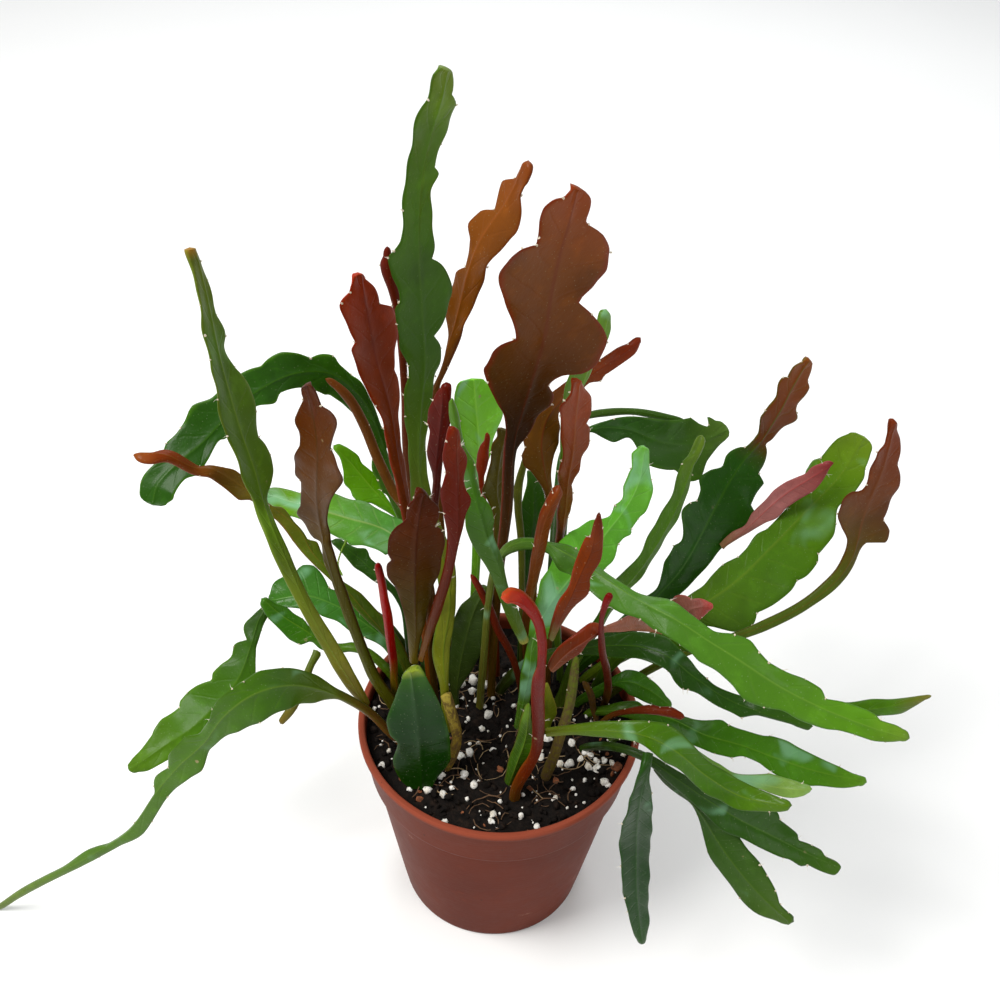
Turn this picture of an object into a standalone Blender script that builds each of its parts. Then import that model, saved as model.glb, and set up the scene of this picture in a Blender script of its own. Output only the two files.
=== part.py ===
# Potted fishbone cactus: flat, notched stems growing out of peat in a
# round plastic nursery pot.
#
# Frame: +Z up, origin at the centre of the pot's underside, metres.
# The front of the plant faces -Y.
#
# Every stem is laid out on one front view of the plant, the way a botanical
# drawing is: the middle line of each stem is a few points (u, v, y), where
# u and v are the place on the drawing sheet (1000 x 1000, v down) and y is
# the depth in millimetres, and its two margins are points (u, v) on the same
# sheet.  A third value of 1 marks a notch.  The drawing is a central
# projection, so at(u, v, y) turns a sheet point and a depth into a point in
# space.
import bpy
import bmesh
import math
import numpy as np
from mathutils import Vector

# ---------------------------------------------------------------- dimensions
POT_RIM_R = 0.0600        # outer radius of the rolled rim
POT_H = 0.1080            # height of the pot
POT_BASE_R = 0.0423       # outer radius of the underside
POT_COLLAR_Z = 0.0845     # lower edge of the collar
POT_COLLAR_R = 0.0562     # outer radius of the collar's lower edge
POT_WALL = 0.0013         # wall thickness
POT_FLOOR = 0.0022        # thickness of the bottom
HOLE_R = 0.0040           # drainage hole radius
HOLE_RING = 0.0270        # radius of the ring of drainage holes
SOIL_Z = 0.1030           # mean height of the peat
SOIL_GAP = 0.0003         # clearance between pieces that touch
SOCKET_GAP = 0.00035      # clearance around a stem in the peat
SEG = 48                  # facets around the pot

# centre of projection of the drawing and its scale
EYE = np.array([-0.004, -0.321, 0.518])
TILT = math.radians(41.8)
ROLL = math.radians(2.6)
SCALE = 1200.0

LEAN_FROM = 0.1060        # height at which the stems begin to lean out
LEAN_OVER = 0.1150        # and over which the lean grows to its full amount
LEAN_MOST = 0.0420        # most that a stem's depth shifts

STATIONS = 13             # cross-sections along a stem


def clear_scene():
    for ob in list(bpy.data.objects):
        bpy.data.objects.remove(ob, do_unlink=True)


# ------------------------------------------------------------- the drawing
_f = np.array([0.0, math.cos(TILT), -math.sin(TILT)])
_r0 = np.array([1.0, 0.0, 0.0])
_u0 = np.cross(_r0, _f)
_r = math.cos(ROLL) * _r0 + math.sin(ROLL) * _u0
_u = -math.sin(ROLL) * _r0 + math.cos(ROLL) * _u0


def at(u, v, y):
    """Point in space of sheet point (u, v) at depth y (metres).

    Above the peat the stems lean out: those in front of the pot's middle
    come forward, and those behind it lean back, more so higher up."""
    d = _f + (u - 500.0) / SCALE * _r - (v - 500.0) / SCALE * _u
    z = EYE[2] + d[2] * ((y - EYE[1]) / d[1])
    rise = min(max((z - LEAN_FROM) / LEAN_OVER, 0.0), 1.0)
    rise = rise * rise * (3.0 - 2.0 * rise)
    y = y + rise * LEAN_MOST * math.tanh(1.3 * (y - 0.003) / LEAN_MOST)
    return EYE + d * ((y - EYE[1]) / d[1])


def catmull(pts, n):
    """Smooth curve through pts, n+1 points, evenly spaced on the sheet."""
    p = np.array(pts, float)
    if len(p) == 2:
        p = np.array([p[0], (p[0] + p[1]) / 2, p[1]])
    ext = np.vstack([2 * p[0] - p[1], p, 2 * p[-1] - p[-2]])
    out = []
    for i in range(1, len(ext) - 2):
        a, b, c, d = ext[i - 1], ext[i], ext[i + 1], ext[i + 2]
        ta = 0.0
        tb = ta + max(np.linalg.norm((b - a)[:2]), 1e-6) ** 0.5
        tc = tb + max(np.linalg.norm((c - b)[:2]), 1e-6) ** 0.5
        td = tc + max(np.linalg.norm((d - c)[:2]), 1e-6) ** 0.5
        for k in range(24):
            t = tb + (tc - tb) * k / 24
            a1 = (tb - t) / (tb - ta) * a + (t - ta) / (tb - ta) * b
            a2 = (tc - t) / (tc - tb) * b + (t - tb) / (tc - tb) * c
            a3 = (td - t) / (td - tc) * c + (t - tc) / (td - tc) * d
            b1 = (tc - t) / (tc - ta) * a1 + (t - ta) / (tc - ta) * a2
            b2 = (td - t) / (td - tb) * a2 + (t - tb) / (td - tb) * a3
            out.append((tc - t) / (tc - tb) * b1 + (t - tb) / (tc - tb) * b2)
    out.append(p[-1])
    out = np.array(out)
    s = np.concatenate([[0], np.cumsum(np.hypot(*np.diff(out[:, :2], axis=0).T))])
    t = np.linspace(0, s[-1], n + 1)
    return np.stack([np.interp(t, s, out[:, j]) for j in range(out.shape[1])], -1)


def slopes(x, y):
    """Monotone cubic slopes."""
    h = np.diff(x)
    d = np.diff(y) / h
    m = np.zeros(len(x))
    if len(x) == 2:
        return np.array([d[0], d[0]])
    for i in range(1, len(x) - 1):
        if d[i - 1] * d[i] > 0:
            w1, w2 = 2 * h[i] + h[i - 1], h[i] + 2 * h[i - 1]
            m[i] = (w1 + w2) / (w1 / d[i - 1] + w2 / d[i])
    m[0], m[-1] = 1.5 * d[0] - 0.5 * m[1], 1.5 * d[-1] - 0.5 * m[-2]
    return m


def smooth_profile(x, y, corner, q):
    """Monotone cubic through (x, y), with a sharp corner where flagged."""
    out = np.interp(q, x, y)
    cuts = [0] + [i for i in range(1, len(x) - 1) if corner[i]] + [len(x) - 1]
    for a, b in zip(cuts[:-1], cuts[1:]):
        xs, ys = x[a:b + 1], y[a:b + 1]
        m = slopes(xs, ys)
        for j in range(len(xs) - 1):
            sel = (q >= xs[j]) & (q <= xs[j + 1])
            h = xs[j + 1] - xs[j]
            t = (q[sel] - xs[j]) / h
            out[sel] = ((1 + 2 * t) * (1 - t) ** 2 * ys[j] + t * (1 - t) ** 2 * h * m[j]
                        + t * t * (3 - 2 * t) * ys[j + 1] + t * t * (t - 1) * h * m[j + 1])
    return out


def half_widths(mid, pts, side, base, q, blunt):
    """Distance from the middle line to one margin, on the sheet."""
    n = len(mid) - 1
    tan = np.gradient(mid[:, :2], axis=0)
    tan /= np.linalg.norm(tan, axis=1)[:, None]
    rows = []
    for p in pts:
        d = np.hypot(mid[:, 0] - p[0], mid[:, 1] - p[1])
        i = int(d.argmin())
        nl = np.array([tan[i, 1], -tan[i, 0]]) * side
        w = max(float((np.array(p[:2]) - mid[i, :2]) @ nl), 0.5)
        rows.append((i / n, w, len(p) > 2))
    rows.sort()
    keep = []
    for r in rows:
        if r[0] > 0.995:
            continue
        if keep and r[0] - keep[-1][0] < 0.004:
            continue
        keep.append(r)
    if not keep or keep[0][0] > 0.02:
        keep.insert(0, (0.0, base, False))
    else:
        keep[0] = (0.0,) + keep[0][1:]
    last = keep[-1]
    x = np.array([k[0] for k in keep] + [1.0])
    y = np.array([k[1] for k in keep] + [last[1] * blunt])
    c = [k[2] for k in keep] + [False]
    w = smooth_profile(x, y, c, np.minimum(q, last[0])) if len(keep) > 1 else np.full(len(q), last[1])
    tip = q > last[0]
    e = np.clip((q[tip] - last[0]) / (1 - last[0]), 0, 1)
    w[tip] = last[1] * (blunt + (1 - blunt) * np.sqrt(np.clip(1 - e ** 2.2, 0, 1)))
    return w


def stem_frame(spec, q):
    """Middle line, margins and thickness of a stem at positions q (0..1)."""
    mid = catmull(spec["mid"], 400)
    base = spec.get("base", 3.0)
    wl = half_widths(mid, spec.get("L", []), 1, base, q, spec.get("blunt", 0.0))
    wr = half_widths(mid, spec.get("R", []), -1, base, q, spec.get("blunt", 0.0))
    t = np.linspace(0, 1, len(mid))
    c = np.stack([np.interp(q, t, mid[:, j]) for j in range(3)], -1)
    g = np.gradient(mid[:, :2], axis=0)
    g = np.stack([np.interp(q, t, g[:, j]) for j in range(2)], -1)
    g /= np.linalg.norm(g, axis=1)[:, None]
    nl = np.stack([g[:, 1], -g[:, 0]], -1)
    k = spec.get("k", (0.0, 0.0))
    h = spec.get("h", (0.0, 0.0))
    kk = k[0] + (k[1] - k[0]) * q
    hh = h[0] + (h[1] - h[0]) * q
    mid3, left, right = [], [], []
    for i in range(len(q)):
        u, v, y = c[i]
        m = at(u, v, y / 1000.0)
        s = float((m - EYE) @ _f) / SCALE * 1000.0
        mid3.append(m)
        for sgn, w, out in ((1, wl[i], left), (-1, wr[i], right)):
            w = max(w, 0.9)
            du, dv = nl[i] * w * sgn
            dy = kk[i] * (-dv) * s + hh[i] * du * s
            out.append(at(u + du, v + dv, (y + dy) / 1000.0))
    return np.array(mid3), np.array(left), np.array(right)


def section_sizes(width):
    """Thickness at the midrib and at the margins for a stem width (m)."""
    w = width * 1000.0
    thick = 0.85 * w if w < 4.2 else 2.3 + 1.27 * math.exp(-((w - 4.2) / 4.0) ** 2)
    edge = 0.5 * thick if w < 4.2 else 0.9 + (0.5 * thick - 0.9) * math.exp(-((w - 4.2) / 3.0) ** 2)
    return thick / 1000.0, edge / 1000.0


# --------------------------------------------------------------- materials
def material(name, rgb, rough, metallic=0.0):
    m = bpy.data.materials.new(name)
    m.use_nodes = True
    b = m.node_tree.nodes["Principled BSDF"]
    b.inputs["Base Color"].default_value = (rgb[0], rgb[1], rgb[2], 1.0)
    b.inputs["Roughness"].default_value = rough
    b.inputs["Metallic"].default_value = metallic
    m.diffuse_color = (rgb[0], rgb[1], rgb[2], 1.0)
    return m


def add_object(name, verts, faces, mat, smooth=True):
    me = bpy.data.meshes.new(name)
    me.from_pydata([tuple(map(float, p)) for p in verts], [], faces)
    me.validate()
    bm = bmesh.new()
    bm.from_mesh(me)
    bmesh.ops.recalc_face_normals(bm, faces=bm.faces)
    if bm.calc_volume(signed=True) < 0:
        bmesh.ops.reverse_faces(bm, faces=bm.faces)
    bm.to_mesh(me)
    bm.free()
    if smooth:
        me.shade_smooth()
        me.set_sharp_from_angle(angle=math.radians(38))
    me.materials.append(mat)
    ob = bpy.data.objects.new(name, me)
    bpy.context.scene.collection.objects.link(ob)
    return ob


# ------------------------------------------------------------------ stems
def stem_body(spec, stations, grow=0.0):
    """Closed ribbon with a raised midrib; grow widens it all round."""
    q = np.linspace(0.0, 1.0, stations)
    q[-1] = 0.992
    m, l, r = stem_frame(spec, q)
    tan = np.gradient(m, axis=0)
    verts, faces = [], []
    for i in range(stations):
        t = tan[i] / np.linalg.norm(tan[i])
        w = r[i] - l[i]
        width = float(np.linalg.norm(w))
        n = np.cross(t, w)
        n /= np.linalg.norm(n)
        a = w / width
        thick, edge = section_sizes(width)
        thick *= spec.get("fat", 1.0)
        lo = l[i] - a * grow
        hi = r[i] + a * grow
        e = n * (edge / 2 + grow)
        c = n * (thick / 2 + grow)
        verts += [lo + e, m[i] + c, hi + e, hi - e, m[i] - c, lo - e]
    for i in range(stations - 1):
        for j in range(6):
            a0, a1 = 6 * i + j, 6 * i + (j + 1) % 6
            faces.append((a0, a1, a1 + 6, a0 + 6))
    e = 6 * (stations - 1)
    faces.append((0, 1, 4, 5))
    faces.append((1, 2, 3, 4))
    faces.append((e, e + 5, e + 4, e + 1))
    faces.append((e + 1, e + 4, e + 3, e + 2))
    return verts, faces


def add_stem(name, spec):
    verts, faces = stem_body(spec, spec.get("n", STATIONS))
    mat = material(name + "_skin", spec["rgb"], 0.42)
    return add_object(name, verts, faces, mat)


GREEN = (0.075, 0.190, 0.030)
DARK = (0.030, 0.090, 0.016)
BRIGHT = (0.170, 0.330, 0.040)
PALE = (0.220, 0.420, 0.140)
RED = (0.210, 0.045, 0.025)
BROWN = (0.140, 0.070, 0.018)
PINK = (0.420, 0.180, 0.170)
CORK = (0.330, 0.240, 0.140)

# Rooted stems start a little below the surface of the peat.
STEMS = {
    # ------------------------------------------------ left side
    "stem_long_trailing_left": dict(rgb=GREEN, base=4.5, n=20, k=(0.6, 0.5), root=1, mid=[
        (405, 747, -15), (388, 731, -15), (372, 715, -15), (352, 702, -16), (322, 689, -19),
        (290, 684, -23), (255, 692, -28), (225, 714, -33), (204, 742, -37), (180, 764, -40),
        (158, 790, -42), (130, 829, -43), (95, 852, -43), (45, 879, -42), (-6, 908, -40)],
        L=[(340, 700), (310, 703), (280, 710), (260, 722), (240, 730), (220, 740), (210, 750), (202, 770),
           (185, 781), (168, 797), (152, 822, 1), (145, 832), (120, 846), (100, 857), (60, 877), (20, 898), (4, 908)],
        R=[(340, 690), (310, 672), (280, 667), (260, 670), (245, 680), (232, 688), (220, 697), (213, 708, 1),
           (209, 720), (200, 733), (185, 737), (172, 750), (168, 768, 1), (155, 777), (153, 784, 1), (158, 795),
           (155, 807), (141, 822), (139, 828, 1), (122, 838), (112, 844), (95, 847), (85, 851), (60, 868),
           (40, 878), (25, 886), (0, 903)]),
    "stem_tall_left": dict(rgb=GREEN, base=4.0, n=16, h=(0.2, 0.9), mid=[
        (367, 704, -12.25), (346, 672, -10.25), (329, 645, -7.25), (303, 600, -3.25), (275, 540, 2.75), (262, 507, 6.75),
        (252, 470, 8.75), (238, 430, 10.75), (218, 360, 13.75), (205, 300, 15.75), (196, 265, 16.75), (190, 248, 16.75)],
        L=[(360, 703), (338, 675), (322, 648), (297, 604), (268, 545), (254, 505), (243, 485), (236, 472),
           (230, 450), (224, 438), (219, 425), (214, 400), (208, 372), (207, 360), (202, 336, 1), (199, 318),
           (197, 305), (193, 282), (190, 268), (187, 255)],
        R=[(372, 706), (352, 668), (337, 642), (310, 598), (284, 543), (268, 505), (268, 480), (269, 467),
           (267, 455), (262, 445), (256, 437, 1), (252, 410), (246, 390), (232, 368, 1), (224, 348), (223, 335),
           (214, 314, 1), (211, 303), (206, 280), (199, 260, 1), (195, 252)], blunt=0.6),
    "stem_back_left_arch": dict(rgb=GREEN, base=4.0, n=18, k=(0.0, 0.5), root=1, mid=[
        (441, 664, 31), (430, 600, 41), (415, 545, 48), (396, 490, 51), (386, 450, 53), (366, 402, 54),
        (334, 374, 54), (300, 372, 50), (262, 388, 47), (230, 414, 43), (205, 441, 38), (180, 462, 33),
        (158, 486, 29), (153, 505, 27)],
        L=[(372, 470), (378, 481, 1), (381, 490), (388, 497), (372, 460), (375, 450), (366, 428), (358, 418),
           (345, 406), (330, 394), (324, 394), (304, 388), (282, 392), (275, 403), (254, 408), (226, 439),
           (220, 440), (207, 462), (198, 475), (185, 480), (175, 498), (168, 503), (157, 507)],
        R=[(406, 520), (400, 500), (397, 490), (393, 472), (386, 450), (392, 440), (381, 425), (372, 402), (360, 380),
           (352, 375, 1), (340, 364), (333, 355), (325, 354), (311, 358, 1), (290, 352), (280, 352), (272, 356),
           (261, 366, 1), (250, 369), (238, 375, 1), (214, 396), (193, 406), (189, 412, 1), (181, 427, 1),
           (172, 438), (166, 443, 1), (155, 465), (142, 480), (140, 490), (141, 501)]),
    "stem_thin_back_left": dict(rgb=BROWN, base=3.0, n=12, root=1, mid=[
        (424, 652, 34), (416, 580, 39), (405, 515, 43.5), (392, 488, 44), (377, 456, 45), (364, 425, 46), (348, 397, 46),
        (326, 379, 46)],
        L=[(401, 512), (388, 492), (372, 458), (359, 426), (345, 401), (333, 387)],
        R=[(408, 508), (397, 488), (382, 456), (369, 424), (352, 395), (336, 381)]),
    "stem_red_tip_far_left": dict(rgb=GREEN, base=5.0, n=18, k=(0.5, 0.6), root=1, mid=[
        (415, 692, 14), (393, 645, 17), (365, 612, 19), (336, 580, 21), (313, 555, 23), (300, 532, 25),
        (282, 516, 26), (262, 502, 26), (238, 485, 26), (212, 471, 24), (196, 470, 23), (165, 457, 21), (134, 455, 20)],
        L=[(385, 638), (366, 620), (350, 603), (333, 583), (312, 563), (292, 540), (276, 520), (252, 501),
           (238, 499), (220, 485), (200, 476, 1), (170, 463), (150, 464)],
        R=[(400, 640), (375, 608), (363, 595), (352, 587), (335, 575), (318, 543), (308, 540, 1), (297, 525),
           (283, 508), (272, 506), (236, 471), (222, 467), (200, 467, 1), (193, 463), (175, 452), (165, 450),
           (150, 454)]),
    "stem_brown_left": dict(rgb=BROWN, base=3.4, n=15, h=(0.0, -0.8), root=1, mid=[
        (392, 707, 5), (372, 672, 6), (356, 633, 7), (340, 590, 8), (328, 550, 8), (319, 500, 7), (320, 450, 6),
        (315, 412, 5), (306, 384, 4)],
        L=[(386, 704), (368, 676), (352, 636), (336, 592), (324, 556), (322, 542), (314, 537), (305, 523),
           (300, 512), (304, 503, 1), (303, 495), (303, 480, 1), (297, 472), (296, 460), (303, 444, 1),
           (302, 431), (297, 418), (298, 412), (304, 399, 1), (303, 390)],
        R=[(398, 702), (379, 674), (362, 634), (346, 590), (334, 552), (331, 545), (330, 508), (337, 493),
           (345, 478), (340, 461), (333, 447, 1), (338, 432), (339, 423), (333, 411), (323, 406, 1),
           (320, 398), (314, 386)]),
    "shoot_red_left": dict(rgb=RED, base=3.6, n=9, fat=1.2, root=1, mid=[
        (399, 695, 11), (395, 670, 4), (390, 640, -2), (386, 605, -6), (382, 580, -9), (377, 564, -10)],
        L=[(391, 690), (389, 660), (384, 625), (380, 600), (377, 580), (375, 570)],
        R=[(398, 690), (397, 655), (393, 620), (388, 595), (385, 578), (382, 567)]),
    "stem_mid_left_blade": dict(rgb=PALE, base=4.0, n=13, k=(0.9, 0.9), root=1, mid=[
        (426, 676, 23), (420, 610, 28), (412, 556, 32), (386, 532, 38), (345, 519, 42), (300, 506, 44), (263, 495, 46)],
        L=[(394, 552), (385, 556), (375, 551), (365, 548), (352, 547), (345, 541), (331, 535), (302, 522),
           (285, 515), (270, 505)],
        R=[(403, 522), (392, 518), (385, 514), (376, 508), (366, 502), (350, 500), (338, 496), (300, 493),
           (282, 488), (268, 489)]),
    "stem_back_left_blade": dict(rgb=BRIGHT, base=3.5, n=12, k=(0.3, 0.3), root=1, mid=[
        (437, 648, 39), (426, 580, 51), (412, 535, 57), (396, 514, 58), (372, 488, 58), (352, 464, 58), (334, 446, 58)],
        L=[(403, 524), (390, 514), (380, 508), (370, 503), (360, 503), (353, 497), (350, 490), (345, 485),
           (343, 470), (338, 455), (334, 450)],
        R=[(404, 520), (398, 513), (393, 506), (385, 495), (378, 480), (375, 474, 1), (368, 468), (362, 463),
           (358, 455), (350, 449), (342, 445)]),
    "stem_dark_left_blade": dict(rgb=DARK, base=3.5, n=11, k=(0.5, 0.5), root=1, mid=[
        (412, 683, 19), (408, 640, 21), (402, 605, 23), (384, 584, 25), (362, 562, 27), (340, 546, 28), (332, 541, 28)],
        L=[(398, 604), (390, 592), (380, 585), (372, 580), (363, 573), (355, 568), (348, 560), (342, 553), (335, 546)],
        R=[(402, 596), (394, 586), (386, 578), (376, 563), (370, 558, 1), (366, 549), (357, 548), (350, 545), (342, 540)]),
    "stem_low_left_blade": dict(rgb=PALE, base=4.5, n=13, k=(0.8, 0.8), root=1, mid=[
        (403, 673, 25), (388, 644, 29), (365, 624, 31), (335, 606, 33), (305, 597, 34), (269, 602, 34)],
        L=[(385, 650), (365, 638), (353, 634), (345, 628), (337, 622), (322, 617), (316, 613), (303, 609),
           (285, 608), (274, 607)],
        R=[(395, 636), (375, 616), (352, 600), (338, 592), (330, 588), (325, 579), (318, 570), (312, 566),
           (303, 566), (297, 572, 1), (285, 577), (275, 584), (270, 595)]),
    "stem_lower_left_hanging": dict(rgb=GREEN, base=4.0, n=18, k=(0.7, 0.8), root=1, mid=[
        (412, 660, 32), (385, 622, 38), (345, 598, 41), (305, 590, 41), (278, 600, 38), (261, 618, 34),
        (252, 645, 27), (238, 680, 16), (214, 708, 8), (190, 730, 0), (165, 746, -7), (145, 760, -12), (130, 770, -14)],
        L=[(274, 607), (267, 618), (262, 630), (257, 645), (256, 655), (250, 690), (228, 716), (200, 742),
           (168, 760), (150, 770), (138, 772)],
        R=[(268, 602), (254, 614), (244, 625), (247, 640, 1), (233, 646), (231, 655), (220, 665), (213, 672),
           (212, 680, 1), (187, 692), (180, 700), (179, 707, 1), (163, 718), (155, 728), (152, 735, 1),
           (140, 750), (130, 762)]),
    "stem_low_left_twisted": dict(rgb=GREEN, base=4.5, n=13, k=(0.8, 0.5), root=1, mid=[
        (398, 684, 18), (380, 662, 19), (362, 650, 20), (340, 647, 21), (322, 641, 22), (305, 630, 23),
        (284, 617, 24), (262, 599, 24)],
        L=[(362, 655), (350, 652), (335, 653), (322, 650), (312, 642), (300, 645), (290, 640), (282, 632),
           (275, 625), (268, 618), (262, 608)],
        R=[(362, 645), (352, 642), (345, 643), (330, 642), (316, 634), (306, 622, 1), (302, 618), (295, 614), (288, 608),
           (275, 603), (268, 598)]),
    "stem_thin_hanging_left": dict(rgb=GREEN, base=4.0, n=8, mid=[
        (317, 651, 19.25), (310, 667, 14.19), (302, 688, 8.12), (292, 708, 2.06), (281, 723, -2)],
        L=[(321, 655), (314, 667), (307, 688), (297, 708), (285, 722)],
        R=[(312, 654), (306, 667), (298, 686), (287, 708), (279, 720)], blunt=0.5),
    # ------------------------------------------------ centre left
    "stem_red_mid_left": dict(rgb=RED, base=3.6, n=16, h=(0.2, 0.8), root=1, mid=[
        (432, 692, 15), (424, 620, 17), (414, 550, 18), (404, 500, 18), (396, 460, 18), (388, 410, 19),
        (374, 360, 20), (366, 320, 20), (358, 273, 21)],
        L=[(400, 505), (396, 485), (390, 460), (383, 429, 1), (374, 405), (363, 385), (355, 367), (347, 350),
           (353, 342, 1), (346, 326), (338, 308), (339, 303), (349, 292, 1), (351, 280)],
        R=[(409, 500), (404, 460), (399, 440), (398, 415), (398, 380), (392, 370, 1), (392, 357), (395, 335),
           (396, 319), (390, 306), (378, 304, 1), (373, 288), (364, 279, 1), (361, 274)]),
    "stem_dark_red_behind": dict(rgb=RED, base=3.2, n=12, root=1, mid=[
        (444, 680, 22), (432, 600, 26), (418, 520, 28), (408, 455, 29), (404, 390, 30), (397, 310, 31), (388, 270, 31),
        (387, 247, 31)],
        L=[(403, 455), (400, 375), (393, 310), (388, 290), (380, 264), (383, 256)],
        R=[(413, 455), (408, 380), (402, 305), (396, 280), (393, 262), (391, 252)]),
    "corky_base_left": dict(rgb=CORK, base=4.0, n=8, fat=1.3, root=1, mid=[
        (447, 769, -25), (454, 752, -23), (457, 736, -19), (452, 715, -14), (446, 694, -9)],
        L=[(443, 766), (449, 750), (452, 737), (447, 716), (441, 696)],
        R=[(451, 770), (459, 752), (462, 736), (457, 714), (451, 694)], blunt=0.7),
    "stem_tallest_green": dict(rgb=GREEN, base=4.5, n=20, h=(0.0, 0.7), root=1, mid=[
        (446, 688, -6), (443, 650, -0.14), (449, 600, 6.71), (443, 560, 10.57), (428, 515, 13.43), (418, 470, 14.29),
        (419, 410, 15.14), (423, 360, 16), (420, 310, 15.86), (417, 265, 15.71), (416, 225, 15.57), (420, 170, 14.43),
        (431, 125, 13.29), (440, 95, 12.14), (445, 67, 11)],
        L=[(440, 688), (432, 650), (440, 605), (434, 565), (412, 505), (410, 480), (408, 445), (404, 415),
           (402, 395), (407, 378, 1), (407, 365), (398, 345), (395, 325), (392, 307), (397, 301, 1), (398, 292),
           (390, 272), (385, 258), (390, 251, 1), (397, 250), (399, 238), (401, 210, 1), (405, 178), (408, 150),
           (411, 127), (420, 108), (427, 99, 1), (430, 90), (432, 75), (437, 70)],
        R=[(449, 688), (450, 650), (456, 600), (455, 565), (434, 505), (426, 455), (427, 425), (431, 395),
           (435, 377), (440, 360), (440, 348), (433, 336, 1), (440, 322), (448, 303), (451, 290), (447, 275),
           (438, 261), (430, 258, 1), (432, 240), (432, 220), (431, 192), (436, 171), (432, 166, 1), (440, 143),
           (449, 123), (455, 105), (450, 92, 1), (451, 72)]),
    "blade_front_cut": dict(rgb=GREEN, base=14.0, n=11, fat=1.4, k=(0.55, 0.0), mid=[
        (422, 787, -35.35), (421, 765, -31.68), (420, 740, -28.01), (418, 712, -23.34), (415, 690, -19.67), (412, 668, -16)],
        L=[(410, 786), (402, 781), (396, 771), (393, 760), (396, 750), (398, 741), (390, 732), (387, 721),
           (395, 697), (402, 680), (407, 664)],
        R=[(432, 785), (438, 777), (446, 768), (451, 755), (450, 735), (444, 715), (439, 700), (430, 682), (421, 668)]),
    "stem_brown_front": dict(rgb=BROWN, base=4.5, n=14, h=(0.1, 0.5), mid=[
        (414, 661, -13.25), (415, 630, -13.54), (414, 600, -12.83), (414, 560, -12.12), (416, 525, -12.42), (419, 505, -12.71),
        (421, 489, -13)],
        L=[(409, 655), (406, 625), (402, 607), (395, 587), (386, 574), (385, 563), (390, 557, 1), (385, 550),
           (387, 540), (395, 527), (406, 518), (407, 508), (413, 498)],
        R=[(418, 655), (422, 632), (429, 606), (434, 581), (440, 560), (444, 539), (442, 530), (435, 525, 1),
           (437, 506), (429, 498, 1), (425, 491)]),
    "stem_red_front_tall": dict(rgb=RED, base=3.0, n=15, h=(-0.2, 0.6), mid=[
        (423, 660, -14.75), (430, 635, -14.64), (438, 605, -14.54), (447, 575, -14.43), (456, 535, -15.32), (456, 490, -16.21),
        (454, 455, -17.11), (453, 427, -18)],
        L=[(419, 655), (425, 630), (433, 603), (442, 574), (447, 533), (443, 512), (439, 490), (445, 472, 1),
           (443, 458), (446, 440), (450, 430)],
        R=[(424, 657), (433, 634), (443, 607), (452, 576), (458, 545), (465, 517), (469, 497), (465, 489, 1),
           (464, 480), (467, 457), (460, 444, 1), (458, 430)]),
    "stem_red_front_behind": dict(rgb=RED, base=3.5, n=13, h=(0.2, -0.2), root=1, mid=[
        (436, 705, 8), (431, 640, 5), (429, 570, 2), (433, 520, 1), (436, 480, 0), (440, 440, -1), (444, 405, -2),
        (446, 383, -2)],
        L=[(429, 520), (431, 500), (433, 480), (427, 450), (430, 432), (427, 424, 1), (428, 412), (433, 400, 1),
           (436, 393), (441, 387)],
        R=[(437, 520), (441, 480), (444, 450), (450, 425), (453, 410), (451, 400, 1), (451, 388)]),
    "stem_brown_twisted": dict(rgb=BROWN, base=3.6, n=18, h=(0.2, -0.9), root=1, mid=[
        (458, 676, 24), (448, 600, 25), (440, 520, 26), (434, 450, 27), (434, 400, 27), (442, 372, 27),
        (454, 335, 27), (463, 300, 27), (470, 272, 26), (480, 245, 26), (492, 225, 26), (507, 205, 26),
        (519, 183, 26), (528, 161, 26)],
        L=[(430, 420), (432, 390), (440, 372), (444, 362), (449, 338), (447, 308), (450, 295, 1), (453, 283), (456, 273),
           (466, 267, 1), (472, 240), (472, 222), (480, 212), (494, 210, 1), (498, 197), (502, 182), (517, 178, 1),
           (523, 168)],
        R=[(438, 400), (440, 385), (448, 368), (460, 340), (472, 310), (485, 280), (490, 266, 1), (503, 250),
           (516, 235), (522, 215), (522, 197, 1), (530, 178)]),
    "blade_grey_centre": dict(rgb=DARK, base=5.0, n=10, root=1, mid=[
        (456, 702, 9), (459, 670, 8), (465, 640, 7), (473, 612, 7), (485, 587, 7)],
        L=[(450, 690), (448, 670), (451, 645), (453, 622), (460, 606), (470, 597), (478, 588)],
        R=[(459, 692), (465, 680), (474, 667), (481, 650), (483, 635), (487, 620), (490, 605), (491, 592)], k=(0.2, 0.0)),
    "stem_centre_green": dict(rgb=BRIGHT, base=4.5, n=16, h=(0.3, -0.2), mid=[
        (523, 641, -6), (513, 615, -7), (505, 588, -8), (497, 560, -8), (487, 535, -8), (480, 510, -8),
        (473, 480, -7), (464, 450, -6), (457, 420, -5), (452, 399, -5)],
        L=[(520, 644), (507, 618), (497, 592), (492, 578), (487, 568), (482, 560), (475, 550), (470, 540),
           (466, 528), (465, 517), (464, 500), (461, 470), (455, 440), (450, 420), (449, 405)],
        R=[(529, 640), (519, 612), (508, 585), (505, 572), (503, 560), (500, 552), (495, 540), (493, 528),
           (494, 518), (492, 508), (488, 502), (481, 495, 1), (479, 488), (476, 478), (475, 465), (466, 450),
           (461, 443), (460, 428), (458, 415), (454, 403)]),
    "stem_pale_back": dict(rgb=PALE, base=3.6, n=12, h=(0.2, 0.7), root=1, mid=[
        (470, 664, 32), (474, 600, 38), (477, 540, 42), (478, 480, 44), (477, 440, 45), (474, 405, 46), (472, 379, 47)],
        L=[(472, 480), (466, 460), (462, 443), (459, 420), (453, 402), (454, 388), (458, 380)],
        R=[(484, 475), (490, 450), (497, 428), (502, 412), (500, 404), (492, 390), (484, 380)], blunt=0.6),
    "stem_big_brown": dict(rgb=BROWN, base=3.6, n=22, h=(0.0, 0.6), root=1, mid=[
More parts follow.
